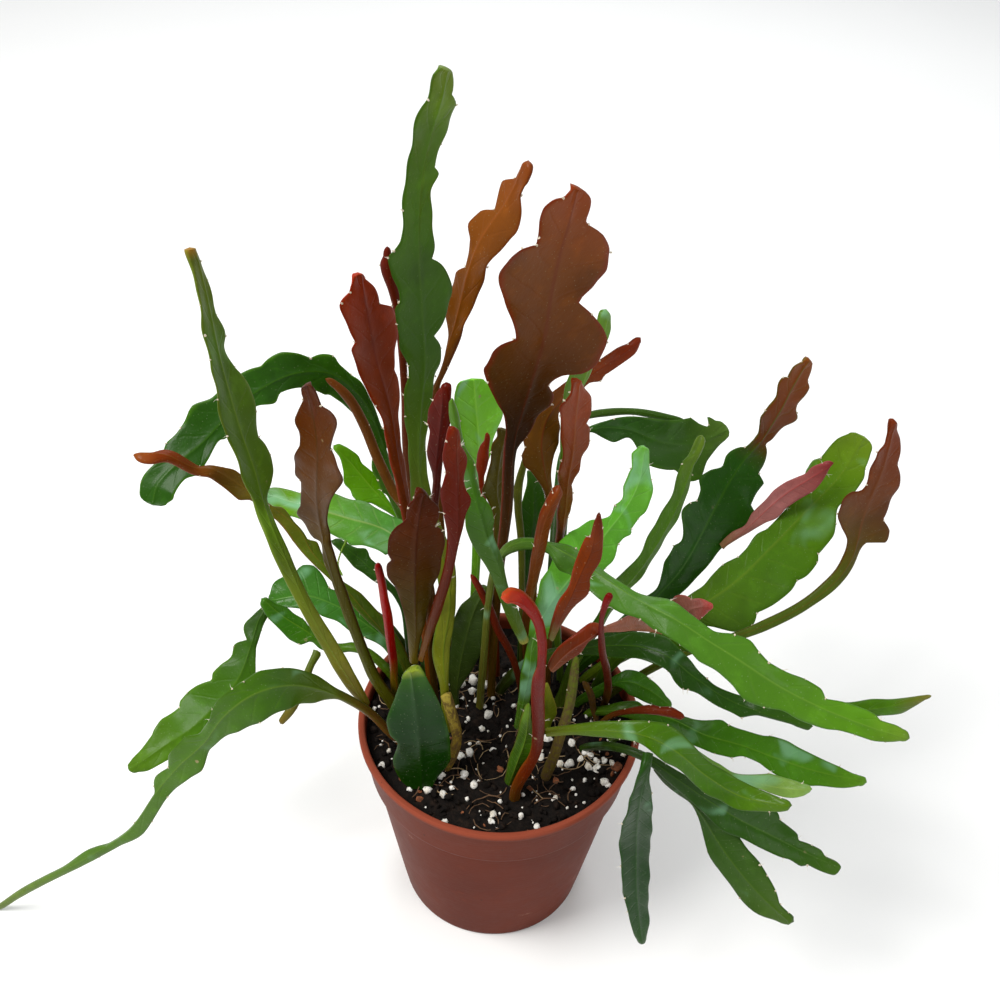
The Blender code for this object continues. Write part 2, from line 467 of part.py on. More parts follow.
        (491, 698, 13), (494, 640, 10), (500, 570, 7), (507, 510, 5), (511, 450, 4), (521, 410, 3), (533, 372, 2),
        (542, 335, 1), (549, 295, 0), (558, 250, -1), (567, 220, -2), (575, 186, -3)],
        L=[(489, 640), (496, 560), (501, 510), (504, 450), (503, 415), (493, 397), (484, 378), (481, 362),
           (487, 348), (495, 341), (503, 337), (512, 335, 1), (510, 320), (500, 297), (492, 275), (492, 268),
           (500, 253), (515, 245), (533, 243, 1), (536, 235), (537, 214), (540, 207), (547, 202), (555, 198),
           (564, 197, 1), (570, 189)],
        R=[(498, 640), (505, 560), (512, 510), (516, 450), (524, 437), (535, 418), (550, 402), (552, 395),
           (547, 384, 1), (560, 372), (578, 368), (595, 355), (602, 336), (600, 327), (588, 311), (575, 300, 1),
           (577, 294), (590, 281), (602, 265), (606, 248), (600, 232), (584, 221, 1), (584, 214), (588, 200),
           (584, 190)]),
    "stem_olive_centre": dict(rgb=BROWN, base=3.4, n=12, h=(0.5, 0.5), root=1, mid=[
        (487, 683, 22), (492, 620, 18), (497, 560, 16), (498, 520, 15), (495, 490, 15), (498, 458, 14), (504, 429, 14)],
        L=[(493, 550), (493, 515), (488, 500), (481, 490), (484, 480), (487, 470), (489, 460), (490, 452, 1),
           (493, 444), (498, 437), (497, 430)],
        R=[(502, 550), (503, 515), (503, 487), (505, 475), (505, 455), (508, 447, 1), (510, 438), (509, 430)], blunt=0.6),
    # ------------------------------------------------ centre
    "blade_cut_centre": dict(rgb=GREEN, base=4.0, n=8, fat=1.3, mid=[
        (508, 781, -34.5), (517, 758, -32.5), (525, 735, -29.5), (529, 704, -25.5)],
        L=[(505, 777), (508, 762), (512, 749), (516, 738), (519, 725), (524, 710)],
        R=[(513, 782), (522, 766), (530, 755), (535, 742), (533, 730), (531, 716)]),
    "shoot_red_arch": dict(rgb=RED, base=6.0, n=16, fat=1.1, root=1, mid=[
        (516, 789, -37), (526, 770, -37), (535, 750, -37), (538, 725, -36), (538, 695, -35), (541, 665, -34), (542, 640, -33),
        (537, 618, -33), (526, 603, -34), (514, 598, -35), (502, 598, -36)],
        L=[(511, 787), (518, 772), (528, 757), (532, 735), (531, 700), (532, 680), (537, 665), (537, 640),
           (534, 625), (520, 607), (510, 602)],
        R=[(522, 788), (535, 765), (543, 745), (545, 720), (545, 690), (546, 665), (547, 640), (542, 617),
           (530, 598), (520, 589), (510, 587), (505, 593)]),
    "shoot_red_dagger": dict(rgb=RED, base=3.2, n=13, h=(0.2, -0.2), mid=[
        (551, 638, -32.75), (558, 618, -32), (571, 592, -30.75), (582, 568, -29.5), (593, 545, -28.25), (599, 513, -28)],
        L=[(547, 640), (553, 617), (559, 601), (568, 588), (573, 568), (580, 548), (585, 538), (590, 537, 1), (593, 525), (596, 517)],
        R=[(553, 641), (562, 622), (575, 605), (588, 592), (590, 585), (590, 578), (600, 562), (603, 545), (603, 528), (601, 517)]),
    "shoot_pink_side": dict(rgb=PINK, base=3.0, n=13, k=(0.3, 0.5), mid=[
        (550, 667, -33.75), (565, 652, -31.5), (582, 640, -29.25), (600, 629, -26), (620, 626, -19.75), (636, 624, -14.5),
        (650, 628, -10.25), (665, 633, -6)],
        L=[(549, 661), (560, 645), (575, 634), (590, 623), (604, 627, 1), (620, 620), (630, 615), (645, 619), (658, 627)],
        R=[(554, 671), (568, 660), (580, 653), (590, 640), (602, 633, 1), (620, 632), (636, 631), (650, 632), (660, 634)]),
    "shoot_thin_red_right": dict(rgb=RED, base=3.0, n=12, root=1, mid=[
        (605, 704, 11), (609, 690, 0), (608, 670, -11), (603, 653, -21), (601, 636, -29), (602, 618, -31), (605, 605, -31), (611, 594, -31)],
        L=[(604, 690), (603, 672), (599, 655), (598, 640), (599, 620), (601, 607), (605, 596)],
        R=[(612, 690), (611, 674), (607, 656), (605, 640), (604, 620), (608, 607), (613, 597)]),
    "stem_bright_front_right": dict(rgb=BRIGHT, base=4.5, n=16, k=(0.8, 0.8), mid=[
        (547, 732, -35), (575, 730, -36), (610, 730, -38), (645, 735, -41), (675, 750, -44), (705, 774, -48),
        (740, 795, -52), (791, 805, -57)],
        L=[(560, 726), (575, 724), (600, 721), (620, 720.5), (650, 721), (668, 724), (680, 732), (690, 741),
           (700, 752), (710, 762), (720, 768), (740, 779), (760, 789), (780, 798)],
        R=[(545, 737), (570, 735), (600, 737), (620, 739), (635, 742), (650, 750), (665, 762), (680, 770),
           (695, 785), (705, 793), (720, 800), (735, 808), (750, 811), (770, 812), (785, 811)]),
    "corky_base_right": dict(rgb=CORK, base=4.0, n=10, fat=1.3, root=1, mid=[
        (546, 777, -27), (554, 755, -26), (560, 735, -24), (567, 712, -20), (572, 690, -15), (576, 657, -8)],
        L=[(541, 774), (550, 752), (556, 733), (563, 712), (567, 690), (573, 658)],
        R=[(550, 779), (559, 757), (565, 737), (572, 714), (577, 690), (579, 658)], blunt=0.7),
    "stem_pale_centre_right": dict(rgb=PALE, base=4.5, n=18, k=(0.3, 0.3), h=(0.0, 0.3), root=1, mid=[
        (517, 728, -3), (523, 700, -5), (529, 670, -6), (532, 640, -5), (545, 610, -1), (566, 582, 5),
        (588, 556, 11), (606, 532, 17), (626, 505, 23), (638, 480, 27), (643, 446, 31)],
        L=[(514, 725), (518, 700), (521, 672), (527, 645), (533, 610), (537, 595), (541, 580), (548, 570),
           (556, 552), (562, 540), (570, 532), (578, 528), (590, 520), (600, 519), (612, 514), (615, 505, 1),
           (622, 499), (624, 485), (628, 473), (631, 468, 1), (632, 455), (638, 449)],
        R=[(527, 715), (531, 695), (536, 670), (540, 645), (553, 636), (565, 620), (575, 605), (592, 590),
           (606, 568), (612, 562), (617, 550), (619, 545, 1), (625, 538), (632, 534), (632, 529, 1), (640, 518),
           (646, 512), (650, 500), (653, 490), (652, 480, 1), (650, 465), (649, 452)]),
    "stem_red_strap": dict(rgb=RED, base=4.0, n=14, h=(0.3, 0.3), root=1, mid=[
        (529, 686, 20), (527, 650, 14), (527, 618, 5), (530, 590, -5), (534, 560, -11), (541, 525, -13),
        (549, 503, -13), (559, 486, -12)],
        L=[(524, 600), (528, 580), (531, 560), (534, 545), (540, 515), (546, 504), (553, 492)],
        R=[(533, 600), (538, 580), (543, 560), (546, 545), (551, 525), (555, 510), (560, 498), (562, 486)]),
    "stem_red_mid_right": dict(rgb=RED, base=3.6, n=16, h=(-0.2, 0.8), root=1, mid=[
        (546, 695, 15), (549, 640, 17), (554, 580, 19), (559, 545, 17), (564, 510, 9), (566, 485, 3), (571, 450, -2),
        (573, 420, -3), (575, 400, -3), (577, 379, -3)],
        L=[(556, 535), (557, 510), (560, 490), (558, 480), (557, 470), (561, 459, 1), (562, 445), (560, 430), (558, 415),
           (557, 407), (562, 400, 1), (568, 392), (570, 384)],
        R=[(563, 540), (568, 517), (572, 500), (573, 492), (571, 483, 1), (577, 470), (582, 457), (588, 440),
           (588, 428), (584, 422, 1), (588, 408), (590, 397), (584, 387), (580, 381)]),
    "stem_brown_back_right": dict(rgb=BROWN, base=3.2, n=18, h=(0.3, 0.0), root=1, mid=[
        (538, 674, 27), (535, 610, 24), (538, 560, 22), (543, 525, 21), (549, 500, 20), (544, 470, 19), (541, 440, 19),
        (548, 414, 21), (566, 394, 25), (590, 374, 30), (615, 357, 35), (640, 338, 38)],
        L=[(545, 505), (543, 490), (537, 480), (530, 470), (523, 463), (521, 455), (525, 447, 1), (523, 440),
           (525, 435), (530, 425), (537, 416), (545, 407), (551, 392), (560, 385), (575, 376), (600, 360),
           (615, 349), (628, 344, 1), (634, 339)],
        R=[(549, 505), (553, 495), (552, 485), (551, 470), (554, 455), (559, 441), (560, 430), (560, 410), (566, 405),
           (588, 384), (601, 381), (603, 376, 1), (615, 368), (633, 355), (640, 343)]),
    "stem_green_back_right": dict(rgb=PALE, base=3.2, n=14, h=(0.3, 0.3), root=1, mid=[
        (560, 681, 25), (558, 620, 27), (562, 560, 28), (567, 500, 22), (572, 440, 18), (577, 398, 17),
        (588, 365, 18), (601, 335, 20), (606, 310, 21)],
        L=[(562, 398), (563, 388), (571, 370), (582, 345), (595, 328), (598, 316), (601, 311)],
        R=[(580, 392), (592, 372), (600, 352), (610, 330), (610, 320)]),
    "stem_dark_back_centre": dict(rgb=DARK, base=4.5, n=12, h=(0.2, 0.2), root=1, mid=[
        (521, 664, 33), (523, 620, 35), (526, 575, 37), (530, 540, 38), (533, 505, 39), (530, 470, 40)],
        L=[(521, 590), (520, 560), (523, 550, 1), (521, 535), (519, 510), (523, 497), (527, 480), (527, 472)],
        R=[(528, 600), (531, 580), (535, 555), (541, 525), (545, 508), (544, 495), (540, 483), (534, 474)]),
    # ------------------------------------------------ right side
    "stem_long_front_right": dict(rgb=GREEN, base=4.0, n=22, k=(0.4, 0.9), root=1, mid=[
        (480, 706, 7), (485, 650, 3), (490, 600, 0), (498, 565, -2), (510, 549, -3), (528, 544, -4), (548, 547, -6),
        (575, 560, -10), (605, 580, -15), (640, 602, -20), (675, 620, -25), (710, 642, -30), (745, 664, -35),
        (790, 692, -41), (840, 715, -47), (875, 728, -51), (909, 738, -54)],
        L=[(500, 550), (510, 541), (525, 538), (548, 542), (575, 547), (600, 568), (632, 590), (672, 600),
           (690, 613), (712, 630), (735, 634), (750, 640), (760, 652), (770, 663, 1), (783, 670), (805, 679),
           (820, 688), (826, 699, 1), (850, 704), (865, 709), (875, 714), (880, 720, 1), (893, 724), (903, 729),
           (908, 734)],
        R=[(503, 560), (515, 552), (530, 549), (545, 552), (560, 570), (575, 577), (600, 600), (620, 612),
           (640, 619), (655, 630), (680, 645), (690, 652), (700, 662), (715, 670), (730, 683), (745, 700),
           (765, 708), (785, 712), (800, 721), (820, 728), (838, 730, 1), (855, 735), (870, 740), (885, 742), (900, 741)]),
    "stem_under_front_right": dict(rgb=DARK, base=4.0, n=18, k=(0.7, 0.8), root=1, mid=[
        (499, 693, 15), (520, 670, 8), (545, 656, 4), (575, 651, 2), (605, 647, -1), (640, 648, -5), (668, 658, -9),
        (692, 676, -13), (725, 698, -18), (760, 712, -23), (812, 726, -28)],
        L=[(515, 665), (545, 650), (580, 644), (606, 637), (625, 633), (645, 632), (665, 638), (680, 650), (690, 660),
           (700, 672), (707, 678, 1), (715, 685), (730, 692), (745, 697), (770, 706), (795, 716)],
        R=[(524, 675), (550, 663), (583, 656), (600, 656), (620, 658), (640, 660), (655, 665), (668, 672), (676, 683),
           (682, 689), (687, 690, 1), (700, 695), (715, 705), (730, 712), (741, 718, 1), (760, 716), (775, 720),
           (790, 724), (797, 727), (806, 730)]),
    "stem_far_right_point": dict(rgb=GREEN, base=3.5, n=14, k=(0.8, 0.8), root=1, mid=[
        (592, 694, 18), (612, 665, 12), (640, 645, 6), (690, 644, -3), (740, 666, -11), (790, 694, -18),
        (840, 710, -24), (885, 707, -29), (931, 696, -33)],
        L=[(700, 636), (745, 657), (800, 688), (842, 702), (870, 699), (890, 699), (910, 697), (925, 695)],
        R=[(690, 652), (736, 676), (786, 704), (840, 719), (860, 719), (880, 716), (900, 714), (912, 708), (925, 700)]),
    "stem_dark_back_right": dict(rgb=DARK, base=3.2, n=16, k=(0.2, 0.3), root=1, mid=[
        (552, 664, 34), (552, 600, 46), (557, 540, 56), (562, 490, 64), (570, 450, 70), (590, 430, 74),
        (625, 429, 80), (665, 443, 86), (700, 442, 92), (728, 430, 97)],
        L=[(566, 440), (588, 427), (605, 421), (615, 418, 1), (645, 417), (665, 420), (690, 418, 1), (707, 417),
           (709, 427, 1), (717, 421), (725, 424)],
        R=[(588, 433), (603, 438), (612, 442), (629, 438), (638, 450), (650, 466), (665, 470), (674, 470, 1),
           (690, 482), (698, 480), (708, 460), (720, 445), (727, 438)]),
    "stem_edge_on_right": dict(rgb=GREEN, base=5.0, n=16, fat=1.3, h=(0.8, 0.8), root=1, mid=[
        (560, 704, 11), (578, 655, 12), (600, 620, 14), (620, 590, 17), (640, 565, 21), (660, 534, 27),
        (677, 500, 33), (690, 465, 38), (702, 436, 42)],
        L=[(570, 660), (592, 625), (614, 583), (634, 562), (652, 532), (669, 500), (682, 465), (693, 452), (699, 440)],
        R=[(586, 650), (608, 618), (628, 592), (648, 567), (668, 536), (685, 500), (693, 475), (697, 458), (703, 442)]),
    "stem_dark_lobed_right": dict(rgb=DARK, base=4.5, n=22, k=(0.2, 0.2), h=(0.2, 0.6), root=1, mid=[
        (574, 670, 28), (596, 650, 30), (625, 625, 37), (655, 597, 45), (680, 570, 50), (700, 535, 54),
        (718, 500, 58), (738, 466, 62), (762, 437, 65), (779, 410, 67), (792, 385, 68), (808, 358, 69)],
        L=[(640, 600), (655, 590), (662, 572), (665, 560), (673, 545, 1), (681, 540), (682, 510), (690, 502),
           (696, 501, 1), (699, 490), (698, 478), (708, 470), (722, 465), (726, 456), (740, 447), (745, 447, 1),
           (757, 435), (758, 425), (759, 415), (764, 410), (768, 411, 1), (775, 398), (778, 382), (782, 377),
           (787, 377, 1), (791, 366), (797, 362), (801, 362, 1), (805, 358)],
        R=[(668, 605), (692, 582), (705, 568), (722, 548), (742, 532), (754, 520), (749, 505, 1), (755, 495),
           (763, 483), (758, 473, 1), (762, 467), (766, 450), (765, 443, 1), (772, 438), (783, 427), (797, 418),
           (796, 411, 1), (798, 403), (808, 387), (807, 380, 1), (812, 364)]),
    "shoot_pink_right": dict(rgb=PINK, base=3.0, n=11, k=(0.2, 0.3), mid=[
        (722, 547, 54.75), (745, 530, 50.75), (765, 511, 46.75), (785, 494, 43.75), (808, 479, 41.75), (833, 463, 40.75)],
        L=[(722, 542), (732, 532), (745, 525), (752, 513), (765, 500), (775, 489), (785, 482), (797, 477), (805, 474), (812, 467), (822, 463)],
        R=[(727, 546), (738, 539), (750, 532), (765, 523), (778, 517), (786, 508, 1), (797, 501), (812, 492), (821, 483), (826, 475), (831, 466)]),
    "stem_broad_right": dict(rgb=BRIGHT, base=4.5, n=20, k=(0.3, 0.5), root=1, mid=[
        (584, 680, 26), (620, 655, 27), (660, 632, 29), (700, 606, 32), (735, 582, 36), (770, 548, 41),
        (805, 512, 47), (838, 478, 51), (864, 437, 55)],
        L=[(650, 632), (692, 593), (700, 588), (712, 575), (722, 565), (738, 557, 1), (745, 550), (755, 536),
           (766, 530, 1), (785, 510), (800, 490), (806, 470), (812, 461), (820, 458, 1), (835, 440), (848, 433)],
        R=[(670, 640), (700, 627), (740, 632), (752, 626), (757, 613, 1), (775, 604), (790, 592), (796, 582, 1),
           (808, 575), (817, 563), (818, 555, 1), (832, 538), (836, 523, 1), (840, 505), (855, 492), (863, 480),
           (865, 468, 1), (871, 452), (870, 440)], blunt=0.3),
    "stem_curled_far_right": dict(rgb=BROWN, base=3.6, n=22, k=(0.6, 0.2), h=(0.0, 0.6), root=1, mid=[
        (606, 698, 17), (640, 675, 16), (690, 650, 15), (735, 636, 17), (765, 625, 19), (805, 604, 21),
        (838, 576, 23), (852, 552, 24), (860, 522, 25), (870, 495, 25), (882, 465, 25), (893, 419, 25)],
        L=[(735, 632), (765, 619), (803, 599), (833, 572), (844, 555), (847, 540), (840, 525), (835, 512),
           (838, 500), (850, 491), (861, 490), (866, 484), (870, 470), (875, 452), (885, 442), (889, 425)],
        R=[(740, 640), (768, 630), (808, 609), (843, 581), (858, 555), (865, 542), (883, 541), (887, 530),
           (882, 518, 1), (888, 505), (896, 488), (898, 475), (896, 463, 1), (900, 440), (896, 428)]),
    "shoot_bud_pink_right": dict(rgb=PINK, base=3.5, n=8, k=(0.3, 0.3), mid=[
        (682, 618, 29), (690, 610, 23), (700, 607, 17), (712, 606, 12)],
        L=[(672, 606), (675, 596), (683, 594), (692, 599, 1), (700, 598), (708, 602)],
        R=[(690, 622), (698, 622), (703, 617), (708, 611)]),
    "stem_short_right": dict(rgb=GREEN, base=3.5, n=12, k=(0.8, 0.8), root=1, mid=[
        (577, 703, 12.4), (600, 690, 9), (625, 682, 6), (648, 690, 3), (671, 706, 1)],
        L=[(600, 684), (612, 677), (620, 673), (627, 670), (640, 672), (650, 678), (660, 687), (666, 696)],
        R=[(600, 697), (612, 687), (630, 695), (645, 702), (656, 706), (665, 708)]),
    "shoot_red_low_right": dict(rgb=RED, base=2.6, n=10, k=(0.5, 0.5), root=1, mid=[
        (598, 728, 0), (610, 717, -6), (630, 711, -10), (652, 710, -13), (670, 712, -15), (684, 717, -17)],
        L=[(612, 712), (625, 709), (640, 706), (651, 705), (660, 707), (670, 707), (678, 711)],
        R=[(615, 717), (630, 714), (650, 714), (665, 716), (678, 719)]),
    "stem_right_middle": dict(rgb=GREEN, base=3.5, n=18, k=(0.8, 0.8), root=1, mid=[
        (588, 714, 7), (612, 711, 2), (640, 711, -1), (672, 719, -4), (705, 735, -7), (740, 745, -10),
        (775, 758, -14), (815, 771, -18), (866, 782, -23)],
        L=[(608, 705), (620, 702), (637, 701), (645, 706), (660, 710), (690, 718), (710, 720), (722, 720),
           (728, 724, 1), (740, 729), (760, 735), (771, 736, 1), (785, 740), (800, 748), (820, 758), (840, 767, 1),
           (855, 774), (865, 777)],
        R=[(610, 716), (640, 722), (665, 735), (688, 743), (700, 748), (715, 754), (732, 758, 1), (745, 757),
           (757, 762), (770, 771), (785, 780), (800, 785), (820, 786), (840, 788), (858, 786)]),
    "stem_silvery_front_right": dict(rgb=PALE, base=3.2, n=14, k=(0.8, 0.8), root=1, mid=[
        (612, 739, -6), (640, 734, -20), (680, 748, -28), (715, 770, -33), (750, 781, -37), (785, 788, -40), (811, 789, -42)],
        L=[(640, 728), (684, 742), (718, 763), (735, 773), (760, 774), (770, 773, 1), (790, 779), (801, 783, 1), (808, 785)],
        R=[(640, 740), (676, 755), (712, 778), (745, 785), (760, 789), (770, 793), (790, 798), (803, 796), (808, 793)]),
    "stem_dark_front_right": dict(rgb=DARK, base=3.8, n=18, k=(0.8, 0.8), root=1, mid=[
        (582, 749, -12), (612, 746, -26), (645, 757, -34), (675, 777, -39), (705, 798, -43), (740, 820, -47),
        (780, 840, -51), (810, 855, -54), (840, 868, -56)],
        L=[(612, 742), (645, 752), (680, 772), (715, 792), (760, 805), (777, 812), (780, 820, 1), (790, 828), (797, 834),
           (798, 840, 1), (812, 845), (820, 849), (825, 856, 1), (832, 859)],
        R=[(612, 751), (640, 760), (668, 782), (695, 805), (725, 832), (745, 840), (760, 848), (775, 855), (783, 858, 1),
           (790, 860), (800, 866), (808, 865, 1), (820, 871), (832, 875)]),
    "stem_hanging_front_right": dict(rgb=GREEN, base=3.4, n=15, k=(0.6, 0.2), mid=[
        (656, 768, -36), (680, 790, -39.5), (700, 812, -44), (716, 838, -48.5), (738, 868, -56), (765, 898, -64.5),
        (793, 921, -72)],
        L=[(684, 782), (700, 789), (720, 812), (741, 838), (750, 850), (760, 863, 1), (768, 875), (776, 890),
           (780, 903, 1), (788, 912)],
        R=[(665, 784), (678, 794), (690, 803), (697, 815), (703, 835), (708, 852, 1), (715, 865), (727, 880),
           (740, 898), (755, 910), (775, 920), (788, 924)]),
    "stem_drooping_front": dict(rgb=DARK, base=3.0, n=16, h=(0.4, 0.4), mid=[
        (648, 753, -47), (645, 767, -52), (640, 790, -57), (636, 820, -61), (635, 850, -64), (635, 880, -67),
        (637, 910, -69), (641, 943, -71)],
        R=[(643, 762), (637, 778), (633, 790), (628, 805), (621, 822), (619, 845), (620, 865), (622, 890),
           (624, 897, 1), (627, 910), (632, 930), (637, 940)],
        L=[(650, 762), (648, 778), (651, 792, 1), (652, 812), (650, 840), (649, 870), (648, 885), (649, 915), (646, 935)]),
}


def build_pot():
    """Turned wall with a rolled rim, a collar and a floor with drain holes."""
    body_top = POT_COLLAR_R - 0.0013
    outer = [(POT_BASE_R - 0.0012, 0.0), (POT_BASE_R, 0.0010),
             (POT_BASE_R + 0.0014, 0.0100), (body_top - 0.0006, POT_COLLAR_Z - 0.0012),
             (body_top, POT_COLLAR_Z - 0.0004), (POT_COLLAR_R, POT_COLLAR_Z),
             (POT_COLLAR_R + 0.0002, POT_COLLAR_Z + 0.0008),
             (POT_COLLAR_R + 0.0017, POT_H - 0.0034), (POT_RIM_R - 0.0005, POT_H - 0.0032),
             (POT_RIM_R, POT_H - 0.0024), (POT_RIM_R, POT_H - 0.0009), (POT_RIM_R - 0.0007, POT_H)]
    inner = [(POT_RIM_R - 0.0024, POT_H), (POT_RIM_R - 0.0031, POT_H - 0.0008),
             (POT_COLLAR_R + 0.0001, POT_COLLAR_Z + 0.0040), (body_top - POT_WALL, POT_COLLAR_Z - 0.0020),
             (POT_BASE_R + 0.0014 - POT_WALL, 0.0105), (POT_BASE_R - 0.0018, POT_FLOOR + 0.0010),
             (POT_BASE_R - 0.0030, POT_FLOOR)]
    prof = outer + inner
    verts, faces = [], []
    for k in range(SEG):
        a = 2 * math.pi * k / SEG
        for r, z in prof:
            verts.append((r * math.cos(a), r * math.sin(a), z))
    n = len(prof)
    for k in range(SEG):
        k2 = (k + 1) % SEG
        for j in range(n - 1):
            faces.append((k * n + j, k2 * n + j, k2 * n + j + 1, k * n + j + 1))
    verts.append((0, 0, 0.0))
    verts.append((0, 0, POT_FLOOR))
    b, t = len(verts) - 2, len(verts) - 1
    for k in range(SEG):
        k2 = (k + 1) % SEG
        faces.append((b, k2 * n, k * n))
        faces.append((t, k * n + n - 1, k2 * n + n - 1))
    pot = add_object("pot", verts, faces, material("pot_plastic", (0.36, 0.085, 0.045), 0.45))
    for k in range(8):
        a = 2 * math.pi * (k + 0.5) / 8
        cut = cylinder("drain_cutter_%d" % k, HOLE_R, -0.004, POT_FLOOR + 0.004,
                       HOLE_RING * math.cos(a), HOLE_RING * math.sin(a), 16)
        cut_with(pot, cut)
    return pot, inner


def cylinder(name, r, z0, z1, x, y, seg):
    verts, faces = [], []
    for z in (z0, z1):
        for k in range(seg):
            a = 2 * math.pi * k / seg
            verts.append((x + r * math.cos(a), y + r * math.sin(a), z))
    for k in range(seg):
        k2 = (k + 1) % seg
        faces.append((k, k2, seg + k2, seg + k))
    faces.append(tuple(range(seg - 1, -1, -1)))
    faces.append(tuple(range(seg, 2 * seg)))
    ob = add_object(name, verts, faces, material(name, (0.5, 0.5, 0.5), 0.5), smooth=False)
    ob.hide_render = True
    ob.display_type = "WIRE"
    return ob


def cut_with(ob, cutter):
    mod = ob.modifiers.new("cut_" + cutter.name, "BOOLEAN")
    mod.operation = "DIFFERENCE"
    mod.solver = "EXACT"
    mod.object = cutter


def soil_height(x, y):
    """Gently uneven top of the peat, a little lower towards the wall."""
    r = math.hypot(x, y) / 0.056
    z = SOIL_Z + 0.0010 * math.sin(95 * x + 1.3) * math.cos(80 * y - 0.6) + 0.0007 * math.sin(210 * y + 140 * x)
    return z - 0.0016 * r ** 4


def build_soil(inner):
    """Peat that fills the pot, with a socket around each rooted stem."""
    wall = sorted([(z, r) for r, z in inner])
    zs = [w[0] for w in wall]
    rs = [w[1] for w in wall]

    def wall_r(z):
        return float(np.interp(z, zs, rs)) - SOIL_GAP
    seg = SEG
    rings = [(POT_BASE_R - 0.0036, POT_FLOOR + SOIL_GAP), (wall_r(0.0040) - 0.0001, 0.0042), (wall_r(0.0106), 0.0108),
             (wall_r(POT_COLLAR_Z - 0.0020), POT_COLLAR_Z - 0.0020),
             (wall_r(POT_COLLAR_Z + 0.0040), POT_COLLAR_Z + 0.0040)]
    verts, faces = [], []
    for r, z in rings:
        for k in range(seg):
            a = 2 * math.pi * k / seg
            verts.append((r * math.cos(a), r * math.sin(a), z))
    tops = [0.0, 0.22, 0.46, 0.70, 0.90, 1.0]
    top_r = wall_r(SOIL_Z) - 0.0001
    for f in tops[:0:-1]:
        for k in range(seg):
            a = 2 * math.pi * k / seg
            x, y = top_r * f * math.cos(a), top_r * f * math.sin(a)
            verts.append((x, y, soil_height(x, y)))
    nr = len(rings) + len(tops) - 1
    for j in range(nr - 1):
        for k in range(seg):
            k2 = (k + 1) % seg
            faces.append((j * seg + k, j * seg + k2, (j + 1) * seg + k2, (j + 1) * seg + k))
    verts.append((0, 0, rings[0][1]))
    verts.append((0, 0, soil_height(0, 0)))
    b, t = len(verts) - 2, len(verts) - 1
    for k in range(seg):
        k2 = (k + 1) % seg
        faces.append((b, k2, k))
        faces.append((t, (nr - 1) * seg + k, (nr - 1) * seg + k2))
    return add_object("soil", verts, faces, material("peat", (0.012, 0.009, 0.007), 0.95), smooth=False)


def rooted(spec):
    """Add a buried end to a stem: the middle line runs on into the peat."""
    s = dict(spec)
    u, v, y = s["mid"][0]
    p = at(u, v, y / 1000.0)
    q = p.copy()
    q[2] = ROOT_Z
    q[0] *= 0.97
    q[1] = q[1] * 0.97
    d = q - EYE
    w = float(d @ _f)
    uu = 500 + SCALE * float(d @ _r) / w
    vv = 500 - SCALE * float(d @ _u) / w
    s["mid"] = [(uu, vv, q[1] * 1000.0)] + list(s["mid"])
    return s


ROOT_Z = 0.0955           # how deep the buried ends reach


def main():
    clear_scene()
    pot, inner = build_pot()
    soil = build_soil(inner)
    for name, spec in STEMS.items():
        s = rooted(spec) if spec.get("root") else spec
        add_stem(name, s)
        if spec.get("root"):
            full = stem_body(s, s.get("n", STATIONS), SOCKET_GAP)
            cut = socket_part(full, 4)
            ob = add_object("socket_" + name, cut[0], cut[1], material("socket_" + name, (0.5, 0.5, 0.5), 0.5),
                            smooth=False)
            ob.hide_render = True
            ob.display_type = "WIRE"
            cut_with(soil, ob)


def socket_part(body, stations):
    """The first few stations of a grown stem body, closed, and longer below."""
    verts, faces = body
    v = [np.array(p) for p in verts[:6 * stations]]
    down = (sum(v[0:6]) - sum(v[6:12])) / 6
    down /= np.linalg.norm(down)
    for j in range(6):
        v[j] = v[j] + down * SOCKET_GAP
    f = []
    for i in range(stations - 1):
        for j in range(6):
            a0, a1 = 6 * i + j, 6 * i + (j + 1) % 6
            f.append((a0, a1, a1 + 6, a0 + 6))
    e = 6 * (stations - 1)
    f.append((0, 1, 4, 5))
    f.append((1, 2, 3, 4))
    f.append((e, e + 5, e + 4, e + 1))
    f.append((e + 1, e + 4, e + 3, e + 2))
    return v, f


main()
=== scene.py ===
import bpy
import bmesh
import math
import random
import numpy as np
from mathutils import Matrix, Vector, noise


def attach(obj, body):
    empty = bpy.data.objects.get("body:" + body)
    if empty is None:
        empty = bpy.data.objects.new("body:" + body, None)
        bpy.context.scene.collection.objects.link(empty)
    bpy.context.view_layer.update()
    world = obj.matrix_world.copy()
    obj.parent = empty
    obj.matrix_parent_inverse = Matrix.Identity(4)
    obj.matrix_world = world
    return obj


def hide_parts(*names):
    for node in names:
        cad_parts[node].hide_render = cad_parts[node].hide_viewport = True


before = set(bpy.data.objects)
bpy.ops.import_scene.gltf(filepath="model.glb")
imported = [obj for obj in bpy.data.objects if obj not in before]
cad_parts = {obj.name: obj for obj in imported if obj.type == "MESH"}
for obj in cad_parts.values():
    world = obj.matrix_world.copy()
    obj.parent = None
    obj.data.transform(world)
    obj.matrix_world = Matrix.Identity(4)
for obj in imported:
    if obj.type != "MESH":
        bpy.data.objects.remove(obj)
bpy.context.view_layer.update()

POT_RIM_R = 0.0600
POT_H = 0.1080
POT_BASE_R = 0.0423
POT_COLLAR_Z = 0.0845
POT_COLLAR_R = 0.0562
POT_WALL = 0.0013
POT_FLOOR = 0.0022
HOLE_R = 0.0040
HOLE_RING = 0.0270
SOIL_Z = 0.1030

EYE = np.array([-0.004, -0.321, 0.518])
TILT = math.radians(41.8)
ROLL = math.radians(2.6)
SCALE = 1200.0
LEAN_FROM = 0.1060
LEAN_OVER = 0.1150
LEAN_MOST = 0.0420
STATIONS = 13

